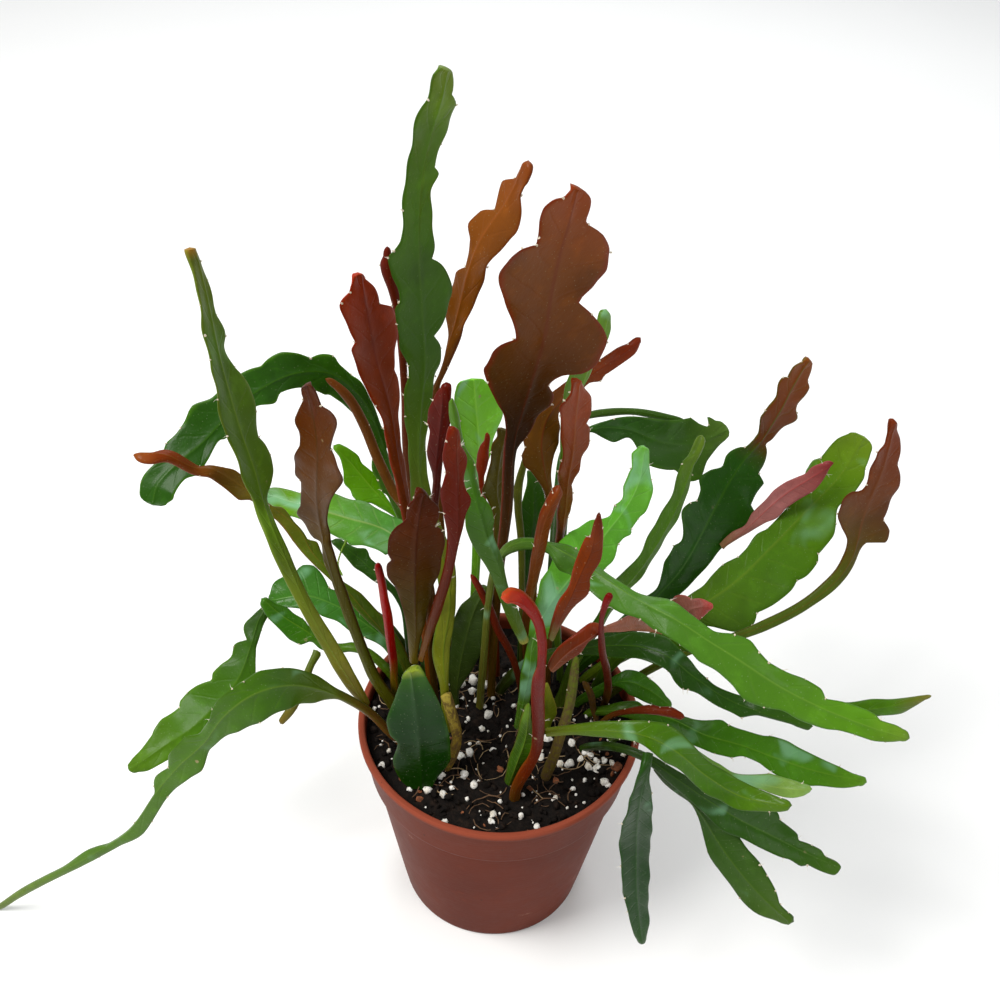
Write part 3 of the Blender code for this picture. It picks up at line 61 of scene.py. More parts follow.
GREEN = "stem_green"
DARK = "stem_dark_green"
BRIGHT = "stem_bright_green"
PALE = "stem_pale_green"
RED = "stem_red"
BROWN = "stem_brown"
PINK = "shoot_pink"
CORK = "corky_stem"


# ------------------------------------------------------------- the drawing
_f = np.array([0.0, math.cos(TILT), -math.sin(TILT)])
_r0 = np.array([1.0, 0.0, 0.0])
_u0 = np.cross(_r0, _f)
_r = math.cos(ROLL) * _r0 + math.sin(ROLL) * _u0
_u = -math.sin(ROLL) * _r0 + math.cos(ROLL) * _u0


def at(u, v, y):
    """Point in space of sheet point (u, v) at depth y (metres).

    Above the peat the stems lean out: those in front of the pot's middle
    come forward, and those behind it lean back, more so higher up."""
    d = _f + (u - 500.0) / SCALE * _r - (v - 500.0) / SCALE * _u
    z = EYE[2] + d[2] * ((y - EYE[1]) / d[1])
    rise = min(max((z - LEAN_FROM) / LEAN_OVER, 0.0), 1.0)
    rise = rise * rise * (3.0 - 2.0 * rise)
    y = y + rise * LEAN_MOST * math.tanh(1.3 * (y - 0.003) / LEAN_MOST)
    return EYE + d * ((y - EYE[1]) / d[1])


def catmull(pts, n):
    """Smooth curve through pts, n+1 points, evenly spaced on the sheet."""
    p = np.array(pts, float)
    if len(p) == 2:
        p = np.array([p[0], (p[0] + p[1]) / 2, p[1]])
    ext = np.vstack([2 * p[0] - p[1], p, 2 * p[-1] - p[-2]])
    out = []
    for i in range(1, len(ext) - 2):
        a, b, c, d = ext[i - 1], ext[i], ext[i + 1], ext[i + 2]
        ta = 0.0
        tb = ta + max(np.linalg.norm((b - a)[:2]), 1e-6) ** 0.5
        tc = tb + max(np.linalg.norm((c - b)[:2]), 1e-6) ** 0.5
        td = tc + max(np.linalg.norm((d - c)[:2]), 1e-6) ** 0.5
        for k in range(24):
            t = tb + (tc - tb) * k / 24
            a1 = (tb - t) / (tb - ta) * a + (t - ta) / (tb - ta) * b
            a2 = (tc - t) / (tc - tb) * b + (t - tb) / (tc - tb) * c
            a3 = (td - t) / (td - tc) * c + (t - tc) / (td - tc) * d
            b1 = (tc - t) / (tc - ta) * a1 + (t - ta) / (tc - ta) * a2
            b2 = (td - t) / (td - tb) * a2 + (t - tb) / (td - tb) * a3
            out.append((tc - t) / (tc - tb) * b1 + (t - tb) / (tc - tb) * b2)
    out.append(p[-1])
    out = np.array(out)
    s = np.concatenate([[0], np.cumsum(np.hypot(*np.diff(out[:, :2], axis=0).T))])
    t = np.linspace(0, s[-1], n + 1)
    return np.stack([np.interp(t, s, out[:, j]) for j in range(out.shape[1])], -1)


def slopes(x, y):
    """Monotone cubic slopes."""
    h = np.diff(x)
    d = np.diff(y) / h
    m = np.zeros(len(x))
    if len(x) == 2:
        return np.array([d[0], d[0]])
    for i in range(1, len(x) - 1):
        if d[i - 1] * d[i] > 0:
            w1, w2 = 2 * h[i] + h[i - 1], h[i] + 2 * h[i - 1]
            m[i] = (w1 + w2) / (w1 / d[i - 1] + w2 / d[i])
    m[0], m[-1] = 1.5 * d[0] - 0.5 * m[1], 1.5 * d[-1] - 0.5 * m[-2]
    return m


def smooth_profile(x, y, corner, q):
    """Monotone cubic through (x, y), with a sharp corner where flagged."""
    out = np.interp(q, x, y)
    cuts = [0] + [i for i in range(1, len(x) - 1) if corner[i]] + [len(x) - 1]
    for a, b in zip(cuts[:-1], cuts[1:]):
        xs, ys = x[a:b + 1], y[a:b + 1]
        m = slopes(xs, ys)
        for j in range(len(xs) - 1):
            sel = (q >= xs[j]) & (q <= xs[j + 1])
            h = xs[j + 1] - xs[j]
            t = (q[sel] - xs[j]) / h
            out[sel] = ((1 + 2 * t) * (1 - t) ** 2 * ys[j] + t * (1 - t) ** 2 * h * m[j]
                        + t * t * (3 - 2 * t) * ys[j + 1] + t * t * (t - 1) * h * m[j + 1])
    return out


def half_widths(mid, pts, side, base, q, blunt):
    """Distance from the middle line to one margin, on the sheet."""
    n = len(mid) - 1
    tan = np.gradient(mid[:, :2], axis=0)
    tan /= np.linalg.norm(tan, axis=1)[:, None]
    rows = []
    for p in pts:
        d = np.hypot(mid[:, 0] - p[0], mid[:, 1] - p[1])
        i = int(d.argmin())
        nl = np.array([tan[i, 1], -tan[i, 0]]) * side
        w = max(float((np.array(p[:2]) - mid[i, :2]) @ nl), 0.5)
        rows.append((i / n, w, len(p) > 2))
    rows.sort()
    keep = []
    for r in rows:
        if r[0] > 0.995:
            continue
        if keep and r[0] - keep[-1][0] < 0.004:
            continue
        keep.append(r)
    if not keep or keep[0][0] > 0.02:
        keep.insert(0, (0.0, base, False))
    else:
        keep[0] = (0.0,) + keep[0][1:]
    last = keep[-1]
    x = np.array([k[0] for k in keep] + [1.0])
    y = np.array([k[1] for k in keep] + [last[1] * blunt])
    c = [k[2] for k in keep] + [False]
    w = smooth_profile(x, y, c, np.minimum(q, last[0])) if len(keep) > 1 else np.full(len(q), last[1])
    tip = q > last[0]
    e = np.clip((q[tip] - last[0]) / (1 - last[0]), 0, 1)
    w[tip] = last[1] * (blunt + (1 - blunt) * np.sqrt(np.clip(1 - e ** 2.2, 0, 1)))
    return w


def stem_frame(spec, q):
    """Middle line and margins of a stem at positions q (0..1)."""
    mid = catmull(spec["mid"], 400)
    base = spec.get("base", 3.0)
    wl = half_widths(mid, spec.get("L", []), 1, base, q, spec.get("blunt", 0.0))
    wr = half_widths(mid, spec.get("R", []), -1, base, q, spec.get("blunt", 0.0))
    t = np.linspace(0, 1, len(mid))
    c = np.stack([np.interp(q, t, mid[:, j]) for j in range(3)], -1)
    g = np.gradient(mid[:, :2], axis=0)
    g = np.stack([np.interp(q, t, g[:, j]) for j in range(2)], -1)
    g /= np.linalg.norm(g, axis=1)[:, None]
    nl = np.stack([g[:, 1], -g[:, 0]], -1)
    k = spec.get("k", (0.0, 0.0))
    h = spec.get("h", (0.0, 0.0))
    kk = k[0] + (k[1] - k[0]) * q
    hh = h[0] + (h[1] - h[0]) * q
    mid3, left, right = [], [], []
    for i in range(len(q)):
        u, v, y = c[i]
        m = at(u, v, y / 1000.0)
        s = float((m - EYE) @ _f) / SCALE * 1000.0
        mid3.append(m)
        for sgn, w, out in ((1, wl[i], left), (-1, wr[i], right)):
            w = max(w, 0.9)
            du, dv = nl[i] * w * sgn
            dy = kk[i] * (-dv) * s + hh[i] * du * s
            out.append(at(u + du, v + dv, (y + dy) / 1000.0))
    return np.array(mid3), np.array(left), np.array(right)


def section_sizes(width):
    """Thickness at the midrib and at the margins for a stem width (m)."""
    w = width * 1000.0
    thick = 0.85 * w if w < 4.2 else 2.3 + 1.27 * math.exp(-((w - 4.2) / 4.0) ** 2)
    edge = 0.5 * thick if w < 4.2 else 0.9 + (0.5 * thick - 0.9) * math.exp(-((w - 4.2) / 3.0) ** 2)
    return thick / 1000.0, edge / 1000.0


# Rooted stems start a little below the surface of the peat.
STEMS = {
    # ------------------------------------------------ left side
    "stem_long_trailing_left": dict(slot=GREEN, base=4.5, n=20, k=(0.6, 0.5), root=1, mid=[
        (405, 747, -15), (388, 731, -15), (372, 715, -15), (352, 702, -16), (322, 689, -19),
        (290, 684, -23), (255, 692, -28), (225, 714, -33), (204, 742, -37), (180, 764, -40),
        (158, 790, -42), (130, 829, -43), (95, 852, -43), (45, 879, -42), (-6, 908, -40)],
        L=[(340, 700), (310, 703), (280, 710), (260, 722), (240, 730), (220, 740), (210, 750), (202, 770),
           (185, 781), (168, 797), (152, 822, 1), (145, 832), (120, 846), (100, 857), (60, 877), (20, 898), (4, 908)],
        R=[(340, 690), (310, 672), (280, 667), (260, 670), (245, 680), (232, 688), (220, 697), (213, 708, 1),
           (209, 720), (200, 733), (185, 737), (172, 750), (168, 768, 1), (155, 777), (153, 784, 1), (158, 795),
           (155, 807), (141, 822), (139, 828, 1), (122, 838), (112, 844), (95, 847), (85, 851), (60, 868),
           (40, 878), (25, 886), (0, 903)]),
    "stem_tall_left": dict(slot=GREEN, base=4.0, n=16, h=(0.2, 0.9), mid=[
        (367, 704, -12.25), (346, 672, -10.25), (329, 645, -7.25), (303, 600, -3.25), (275, 540, 2.75), (262, 507, 6.75),
        (252, 470, 8.75), (238, 430, 10.75), (218, 360, 13.75), (205, 300, 15.75), (196, 265, 16.75), (190, 248, 16.75)],
        L=[(360, 703), (338, 675), (322, 648), (297, 604), (268, 545), (254, 505), (243, 485), (236, 472),
           (230, 450), (224, 438), (219, 425), (214, 400), (208, 372), (207, 360), (202, 336, 1), (199, 318),
           (197, 305), (193, 282), (190, 268), (187, 255)],
        R=[(372, 706), (352, 668), (337, 642), (310, 598), (284, 543), (268, 505), (268, 480), (269, 467),
           (267, 455), (262, 445), (256, 437, 1), (252, 410), (246, 390), (232, 368, 1), (224, 348), (223, 335),
           (214, 314, 1), (211, 303), (206, 280), (199, 260, 1), (195, 252)], blunt=0.6),
    "stem_back_left_arch": dict(slot=GREEN, base=4.0, n=18, k=(0.0, 0.5), root=1, mid=[
        (441, 664, 31), (430, 600, 41), (415, 545, 48), (396, 490, 51), (386, 450, 53), (366, 402, 54),
        (334, 374, 54), (300, 372, 50), (262, 388, 47), (230, 414, 43), (205, 441, 38), (180, 462, 33),
        (158, 486, 29), (153, 505, 27)],
        L=[(372, 470), (378, 481, 1), (381, 490), (388, 497), (372, 460), (375, 450), (366, 428), (358, 418),
           (345, 406), (330, 394), (324, 394), (304, 388), (282, 392), (275, 403), (254, 408), (226, 439),
           (220, 440), (207, 462), (198, 475), (185, 480), (175, 498), (168, 503), (157, 507)],
        R=[(406, 520), (400, 500), (397, 490), (393, 472), (386, 450), (392, 440), (381, 425), (372, 402), (360, 380),
           (352, 375, 1), (340, 364), (333, 355), (325, 354), (311, 358, 1), (290, 352), (280, 352), (272, 356),
           (261, 366, 1), (250, 369), (238, 375, 1), (214, 396), (193, 406), (189, 412, 1), (181, 427, 1),
           (172, 438), (166, 443, 1), (155, 465), (142, 480), (140, 490), (141, 501)]),
    "stem_thin_back_left": dict(slot=BROWN, base=3.0, n=12, root=1, mid=[
        (424, 652, 34), (416, 580, 39), (405, 515, 43.5), (392, 488, 44), (377, 456, 45), (364, 425, 46), (348, 397, 46),
        (326, 379, 46)],
        L=[(401, 512), (388, 492), (372, 458), (359, 426), (345, 401), (333, 387)],
        R=[(408, 508), (397, 488), (382, 456), (369, 424), (352, 395), (336, 381)]),
    "stem_red_tip_far_left": dict(slot=GREEN, base=5.0, n=18, k=(0.5, 0.6), root=1, mid=[
        (415, 692, 14), (393, 645, 17), (365, 612, 19), (336, 580, 21), (313, 555, 23), (300, 532, 25),
        (282, 516, 26), (262, 502, 26), (238, 485, 26), (212, 471, 24), (196, 470, 23), (165, 457, 21), (134, 455, 20)],
        L=[(385, 638), (366, 620), (350, 603), (333, 583), (312, 563), (292, 540), (276, 520), (252, 501),
           (238, 499), (220, 485), (200, 476, 1), (170, 463), (150, 464)],
        R=[(400, 640), (375, 608), (363, 595), (352, 587), (335, 575), (318, 543), (308, 540, 1), (297, 525),
           (283, 508), (272, 506), (236, 471), (222, 467), (200, 467, 1), (193, 463), (175, 452), (165, 450),
           (150, 454)]),
    "stem_brown_left": dict(slot=BROWN, base=3.4, n=15, h=(0.0, -0.8), root=1, mid=[
        (392, 707, 5), (372, 672, 6), (356, 633, 7), (340, 590, 8), (328, 550, 8), (319, 500, 7), (320, 450, 6),
        (315, 412, 5), (306, 384, 4)],
        L=[(386, 704), (368, 676), (352, 636), (336, 592), (324, 556), (322, 542), (314, 537), (305, 523),
           (300, 512), (304, 503, 1), (303, 495), (303, 480, 1), (297, 472), (296, 460), (303, 444, 1),
           (302, 431), (297, 418), (298, 412), (304, 399, 1), (303, 390)],
        R=[(398, 702), (379, 674), (362, 634), (346, 590), (334, 552), (331, 545), (330, 508), (337, 493),
           (345, 478), (340, 461), (333, 447, 1), (338, 432), (339, 423), (333, 411), (323, 406, 1),
           (320, 398), (314, 386)]),
    "shoot_red_left": dict(slot=RED, base=3.6, n=9, fat=1.2, root=1, mid=[
        (399, 695, 11), (395, 670, 4), (390, 640, -2), (386, 605, -6), (382, 580, -9), (377, 564, -10)],
        L=[(391, 690), (389, 660), (384, 625), (380, 600), (377, 580), (375, 570)],
        R=[(398, 690), (397, 655), (393, 620), (388, 595), (385, 578), (382, 567)]),
    "stem_mid_left_blade": dict(slot=PALE, base=4.0, n=13, k=(0.9, 0.9), root=1, mid=[
        (426, 676, 23), (420, 610, 28), (412, 556, 32), (386, 532, 38), (345, 519, 42), (300, 506, 44), (263, 495, 46)],
        L=[(394, 552), (385, 556), (375, 551), (365, 548), (352, 547), (345, 541), (331, 535), (302, 522),
           (285, 515), (270, 505)],
        R=[(403, 522), (392, 518), (385, 514), (376, 508), (366, 502), (350, 500), (338, 496), (300, 493),
           (282, 488), (268, 489)]),
    "stem_back_left_blade": dict(slot=BRIGHT, base=3.5, n=12, k=(0.3, 0.3), root=1, mid=[
        (437, 648, 39), (426, 580, 51), (412, 535, 57), (396, 514, 58), (372, 488, 58), (352, 464, 58), (334, 446, 58)],
        L=[(403, 524), (390, 514), (380, 508), (370, 503), (360, 503), (353, 497), (350, 490), (345, 485),
           (343, 470), (338, 455), (334, 450)],
        R=[(404, 520), (398, 513), (393, 506), (385, 495), (378, 480), (375, 474, 1), (368, 468), (362, 463),
           (358, 455), (350, 449), (342, 445)]),
    "stem_dark_left_blade": dict(slot=DARK, base=3.5, n=11, k=(0.5, 0.5), root=1, mid=[
        (412, 683, 19), (408, 640, 21), (402, 605, 23), (384, 584, 25), (362, 562, 27), (340, 546, 28), (332, 541, 28)],
        L=[(398, 604), (390, 592), (380, 585), (372, 580), (363, 573), (355, 568), (348, 560), (342, 553), (335, 546)],
        R=[(402, 596), (394, 586), (386, 578), (376, 563), (370, 558, 1), (366, 549), (357, 548), (350, 545), (342, 540)]),
    "stem_low_left_blade": dict(slot=PALE, base=4.5, n=13, k=(0.8, 0.8), root=1, mid=[
        (403, 673, 25), (388, 644, 29), (365, 624, 31), (335, 606, 33), (305, 597, 34), (269, 602, 34)],
        L=[(385, 650), (365, 638), (353, 634), (345, 628), (337, 622), (322, 617), (316, 613), (303, 609),
           (285, 608), (274, 607)],
        R=[(395, 636), (375, 616), (352, 600), (338, 592), (330, 588), (325, 579), (318, 570), (312, 566),
           (303, 566), (297, 572, 1), (285, 577), (275, 584), (270, 595)]),
    "stem_lower_left_hanging": dict(slot=GREEN, base=4.0, n=18, k=(0.7, 0.8), root=1, mid=[
        (412, 660, 32), (385, 622, 38), (345, 598, 41), (305, 590, 41), (278, 600, 38), (261, 618, 34),
        (252, 645, 27), (238, 680, 16), (214, 708, 8), (190, 730, 0), (165, 746, -7), (145, 760, -12), (130, 770, -14)],
        L=[(274, 607), (267, 618), (262, 630), (257, 645), (256, 655), (250, 690), (228, 716), (200, 742),
           (168, 760), (150, 770), (138, 772)],
        R=[(268, 602), (254, 614), (244, 625), (247, 640, 1), (233, 646), (231, 655), (220, 665), (213, 672),
           (212, 680, 1), (187, 692), (180, 700), (179, 707, 1), (163, 718), (155, 728), (152, 735, 1),
           (140, 750), (130, 762)]),
    "stem_low_left_twisted": dict(slot=GREEN, base=4.5, n=13, k=(0.8, 0.5), root=1, mid=[
        (398, 684, 18), (380, 662, 19), (362, 650, 20), (340, 647, 21), (322, 641, 22), (305, 630, 23),
        (284, 617, 24), (262, 599, 24)],
        L=[(362, 655), (350, 652), (335, 653), (322, 650), (312, 642), (300, 645), (290, 640), (282, 632),
           (275, 625), (268, 618), (262, 608)],
        R=[(362, 645), (352, 642), (345, 643), (330, 642), (316, 634), (306, 622, 1), (302, 618), (295, 614), (288, 608),
           (275, 603), (268, 598)]),
    "stem_thin_hanging_left": dict(slot=GREEN, base=4.0, n=8, mid=[
        (317, 651, 19.25), (310, 667, 14.19), (302, 688, 8.12), (292, 708, 2.06), (281, 723, -2)],
        L=[(321, 655), (314, 667), (307, 688), (297, 708), (285, 722)],
        R=[(312, 654), (306, 667), (298, 686), (287, 708), (279, 720)], blunt=0.5),
    # ------------------------------------------------ centre left
    "stem_red_mid_left": dict(slot=RED, base=3.6, n=16, h=(0.2, 0.8), root=1, mid=[
        (432, 692, 15), (424, 620, 17), (414, 550, 18), (404, 500, 18), (396, 460, 18), (388, 410, 19),
        (374, 360, 20), (366, 320, 20), (358, 273, 21)],
        L=[(400, 505), (396, 485), (390, 460), (383, 429, 1), (374, 405), (363, 385), (355, 367), (347, 350),
           (353, 342, 1), (346, 326), (338, 308), (339, 303), (349, 292, 1), (351, 280)],
        R=[(409, 500), (404, 460), (399, 440), (398, 415), (398, 380), (392, 370, 1), (392, 357), (395, 335),
           (396, 319), (390, 306), (378, 304, 1), (373, 288), (364, 279, 1), (361, 274)]),
    "stem_dark_red_behind": dict(slot=RED, base=3.2, n=12, root=1, mid=[
        (444, 680, 22), (432, 600, 26), (418, 520, 28), (408, 455, 29), (404, 390, 30), (397, 310, 31), (388, 270, 31),
        (387, 247, 31)],
        L=[(403, 455), (400, 375), (393, 310), (388, 290), (380, 264), (383, 256)],
        R=[(413, 455), (408, 380), (402, 305), (396, 280), (393, 262), (391, 252)]),
    "corky_base_left": dict(slot=CORK, base=4.0, n=8, fat=1.3, root=1, mid=[
        (447, 769, -25), (454, 752, -23), (457, 736, -19), (452, 715, -14), (446, 694, -9)],
        L=[(443, 766), (449, 750), (452, 737), (447, 716), (441, 696)],
        R=[(451, 770), (459, 752), (462, 736), (457, 714), (451, 694)], blunt=0.7),
    "stem_tallest_green": dict(slot=GREEN, base=4.5, n=20, h=(0.0, 0.7), root=1, mid=[
        (446, 688, -6), (443, 650, -0.14), (449, 600, 6.71), (443, 560, 10.57), (428, 515, 13.43), (418, 470, 14.29),
        (419, 410, 15.14), (423, 360, 16), (420, 310, 15.86), (417, 265, 15.71), (416, 225, 15.57), (420, 170, 14.43),
        (431, 125, 13.29), (440, 95, 12.14), (445, 67, 11)],
        L=[(440, 688), (432, 650), (440, 605), (434, 565), (412, 505), (410, 480), (408, 445), (404, 415),
           (402, 395), (407, 378, 1), (407, 365), (398, 345), (395, 325), (392, 307), (397, 301, 1), (398, 292),
           (390, 272), (385, 258), (390, 251, 1), (397, 250), (399, 238), (401, 210, 1), (405, 178), (408, 150),
           (411, 127), (420, 108), (427, 99, 1), (430, 90), (432, 75), (437, 70)],
        R=[(449, 688), (450, 650), (456, 600), (455, 565), (434, 505), (426, 455), (427, 425), (431, 395),
           (435, 377), (440, 360), (440, 348), (433, 336, 1), (440, 322), (448, 303), (451, 290), (447, 275),
           (438, 261), (430, 258, 1), (432, 240), (432, 220), (431, 192), (436, 171), (432, 166, 1), (440, 143),
           (449, 123), (455, 105), (450, 92, 1), (451, 72)]),
    "blade_front_cut": dict(slot=GREEN, base=14.0, n=11, fat=1.4, k=(0.55, 0.0), mid=[
        (422, 787, -35.35), (421, 765, -31.68), (420, 740, -28.01), (418, 712, -23.34), (415, 690, -19.67), (412, 668, -16)],
        L=[(410, 786), (402, 781), (396, 771), (393, 760), (396, 750), (398, 741), (390, 732), (387, 721),
           (395, 697), (402, 680), (407, 664)],
        R=[(432, 785), (438, 777), (446, 768), (451, 755), (450, 735), (444, 715), (439, 700), (430, 682), (421, 668)]),
    "stem_brown_front": dict(slot=BROWN, base=4.5, n=14, h=(0.1, 0.5), mid=[
        (414, 661, -13.25), (415, 630, -13.54), (414, 600, -12.83), (414, 560, -12.12), (416, 525, -12.42), (419, 505, -12.71),
        (421, 489, -13)],
        L=[(409, 655), (406, 625), (402, 607), (395, 587), (386, 574), (385, 563), (390, 557, 1), (385, 550),
           (387, 540), (395, 527), (406, 518), (407, 508), (413, 498)],
        R=[(418, 655), (422, 632), (429, 606), (434, 581), (440, 560), (444, 539), (442, 530), (435, 525, 1),
           (437, 506), (429, 498, 1), (425, 491)]),
    "stem_red_front_tall": dict(slot=RED, base=3.0, n=15, h=(-0.2, 0.6), mid=[
        (423, 660, -14.75), (430, 635, -14.64), (438, 605, -14.54), (447, 575, -14.43), (456, 535, -15.32), (456, 490, -16.21),
        (454, 455, -17.11), (453, 427, -18)],
        L=[(419, 655), (425, 630), (433, 603), (442, 574), (447, 533), (443, 512), (439, 490), (445, 472, 1),
           (443, 458), (446, 440), (450, 430)],
        R=[(424, 657), (433, 634), (443, 607), (452, 576), (458, 545), (465, 517), (469, 497), (465, 489, 1),
           (464, 480), (467, 457), (460, 444, 1), (458, 430)]),
    "stem_red_front_behind": dict(slot=RED, base=3.5, n=13, h=(0.2, -0.2), root=1, mid=[
        (436, 705, 8), (431, 640, 5), (429, 570, 2), (433, 520, 1), (436, 480, 0), (440, 440, -1), (444, 405, -2),
        (446, 383, -2)],
        L=[(429, 520), (431, 500), (433, 480), (427, 450), (430, 432), (427, 424, 1), (428, 412), (433, 400, 1),
           (436, 393), (441, 387)],
        R=[(437, 520), (441, 480), (444, 450), (450, 425), (453, 410), (451, 400, 1), (451, 388)]),
    "stem_brown_twisted": dict(slot=BROWN, base=3.6, n=18, h=(0.2, -0.9), root=1, mid=[
        (458, 676, 24), (448, 600, 25), (440, 520, 26), (434, 450, 27), (434, 400, 27), (442, 372, 27),
        (454, 335, 27), (463, 300, 27), (470, 272, 26), (480, 245, 26), (492, 225, 26), (507, 205, 26),
        (519, 183, 26), (528, 161, 26)],
        L=[(430, 420), (432, 390), (440, 372), (444, 362), (449, 338), (447, 308), (450, 295, 1), (453, 283), (456, 273),
           (466, 267, 1), (472, 240), (472, 222), (480, 212), (494, 210, 1), (498, 197), (502, 182), (517, 178, 1),
           (523, 168)],
        R=[(438, 400), (440, 385), (448, 368), (460, 340), (472, 310), (485, 280), (490, 266, 1), (503, 250),
           (516, 235), (522, 215), (522, 197, 1), (530, 178)]),
    "blade_grey_centre": dict(slot=DARK, base=5.0, n=10, root=1, mid=[
        (456, 702, 9), (459, 670, 8), (465, 640, 7), (473, 612, 7), (485, 587, 7)],
        L=[(450, 690), (448, 670), (451, 645), (453, 622), (460, 606), (470, 597), (478, 588)],
        R=[(459, 692), (465, 680), (474, 667), (481, 650), (483, 635), (487, 620), (490, 605), (491, 592)], k=(0.2, 0.0)),
    "stem_centre_green": dict(slot=BRIGHT, base=4.5, n=16, h=(0.3, -0.2), mid=[
        (523, 641, -6), (513, 615, -7), (505, 588, -8), (497, 560, -8), (487, 535, -8), (480, 510, -8),
        (473, 480, -7), (464, 450, -6), (457, 420, -5), (452, 399, -5)],
        L=[(520, 644), (507, 618), (497, 592), (492, 578), (487, 568), (482, 560), (475, 550), (470, 540),
           (466, 528), (465, 517), (464, 500), (461, 470), (455, 440), (450, 420), (449, 405)],
        R=[(529, 640), (519, 612), (508, 585), (505, 572), (503, 560), (500, 552), (495, 540), (493, 528),
           (494, 518), (492, 508), (488, 502), (481, 495, 1), (479, 488), (476, 478), (475, 465), (466, 450),
           (461, 443), (460, 428), (458, 415), (454, 403)]),
    "stem_pale_back": dict(slot=PALE, base=3.6, n=12, h=(0.2, 0.7), root=1, mid=[
        (470, 664, 32), (474, 600, 38), (477, 540, 42), (478, 480, 44), (477, 440, 45), (474, 405, 46), (472, 379, 47)],
        L=[(472, 480), (466, 460), (462, 443), (459, 420), (453, 402), (454, 388), (458, 380)],
        R=[(484, 475), (490, 450), (497, 428), (502, 412), (500, 404), (492, 390), (484, 380)], blunt=0.6),
    "stem_big_brown": dict(slot=BROWN, base=3.6, n=22, h=(0.0, 0.6), root=1, mid=[
        (491, 698, 13), (494, 640, 10), (500, 570, 7), (507, 510, 5), (511, 450, 4), (521, 410, 3), (533, 372, 2),
        (542, 335, 1), (549, 295, 0), (558, 250, -1), (567, 220, -2), (575, 186, -3)],
        L=[(489, 640), (496, 560), (501, 510), (504, 450), (503, 415), (493, 397), (484, 378), (481, 362),
           (487, 348), (495, 341), (503, 337), (512, 335, 1), (510, 320), (500, 297), (492, 275), (492, 268),
           (500, 253), (515, 245), (533, 243, 1), (536, 235), (537, 214), (540, 207), (547, 202), (555, 198),
           (564, 197, 1), (570, 189)],
        R=[(498, 640), (505, 560), (512, 510), (516, 450), (524, 437), (535, 418), (550, 402), (552, 395),
           (547, 384, 1), (560, 372), (578, 368), (595, 355), (602, 336), (600, 327), (588, 311), (575, 300, 1),
           (577, 294), (590, 281), (602, 265), (606, 248), (600, 232), (584, 221, 1), (584, 214), (588, 200),
           (584, 190)]),
    "stem_olive_centre": dict(slot=BROWN, base=3.4, n=12, h=(0.5, 0.5), root=1, mid=[
        (487, 683, 22), (492, 620, 18), (497, 560, 16), (498, 520, 15), (495, 490, 15), (498, 458, 14), (504, 429, 14)],
        L=[(493, 550), (493, 515), (488, 500), (481, 490), (484, 480), (487, 470), (489, 460), (490, 452, 1),
           (493, 444), (498, 437), (497, 430)],
        R=[(502, 550), (503, 515), (503, 487), (505, 475), (505, 455), (508, 447, 1), (510, 438), (509, 430)], blunt=0.6),
    # ------------------------------------------------ centre
    "blade_cut_centre": dict(slot=GREEN, base=4.0, n=8, fat=1.3, mid=[
        (508, 781, -34.5), (517, 758, -32.5), (525, 735, -29.5), (529, 704, -25.5)],
        L=[(505, 777), (508, 762), (512, 749), (516, 738), (519, 725), (524, 710)],
        R=[(513, 782), (522, 766), (530, 755), (535, 742), (533, 730), (531, 716)]),
    "shoot_red_arch": dict(slot=RED, base=6.0, n=16, fat=1.1, root=1, mid=[
        (516, 789, -37), (526, 770, -37), (535, 750, -37), (538, 725, -36), (538, 695, -35), (541, 665, -34), (542, 640, -33),
        (537, 618, -33), (526, 603, -34), (514, 598, -35), (502, 598, -36)],
        L=[(511, 787), (518, 772), (528, 757), (532, 735), (531, 700), (532, 680), (537, 665), (537, 640),
           (534, 625), (520, 607), (510, 602)],
        R=[(522, 788), (535, 765), (543, 745), (545, 720), (545, 690), (546, 665), (547, 640), (542, 617),
           (530, 598), (520, 589), (510, 587), (505, 593)]),
    "shoot_red_dagger": dict(slot=RED, base=3.2, n=13, h=(0.2, -0.2), mid=[
        (551, 638, -32.75), (558, 618, -32), (571, 592, -30.75), (582, 568, -29.5), (593, 545, -28.25), (599, 513, -28)],
        L=[(547, 640), (553, 617), (559, 601), (568, 588), (573, 568), (580, 548), (585, 538), (590, 537, 1), (593, 525), (596, 517)],
        R=[(553, 641), (562, 622), (575, 605), (588, 592), (590, 585), (590, 578), (600, 562), (603, 545), (603, 528), (601, 517)]),
    "shoot_pink_side": dict(slot=PINK, base=3.0, n=13, k=(0.3, 0.5), mid=[
        (550, 667, -33.75), (565, 652, -31.5), (582, 640, -29.25), (600, 629, -26), (620, 626, -19.75), (636, 624, -14.5),
        (650, 628, -10.25), (665, 633, -6)],
        L=[(549, 661), (560, 645), (575, 634), (590, 623), (604, 627, 1), (620, 620), (630, 615), (645, 619), (658, 627)],
        R=[(554, 671), (568, 660), (580, 653), (590, 640), (602, 633, 1), (620, 632), (636, 631), (650, 632), (660, 634)]),
    "shoot_thin_red_right": dict(slot=RED, base=3.0, n=12, root=1, mid=[
        (605, 704, 11), (609, 690, 0), (608, 670, -11), (603, 653, -21), (601, 636, -29), (602, 618, -31), (605, 605, -31), (611, 594, -31)],
        L=[(604, 690), (603, 672), (599, 655), (598, 640), (599, 620), (601, 607), (605, 596)],
        R=[(612, 690), (611, 674), (607, 656), (605, 640), (604, 620), (608, 607), (613, 597)]),
    "stem_bright_front_right": dict(slot=BRIGHT, base=4.5, n=16, k=(0.8, 0.8), mid=[
        (547, 732, -35), (575, 730, -36), (610, 730, -38), (645, 735, -41), (675, 750, -44), (705, 774, -48),
        (740, 795, -52), (791, 805, -57)],
        L=[(560, 726), (575, 724), (600, 721), (620, 720.5), (650, 721), (668, 724), (680, 732), (690, 741),
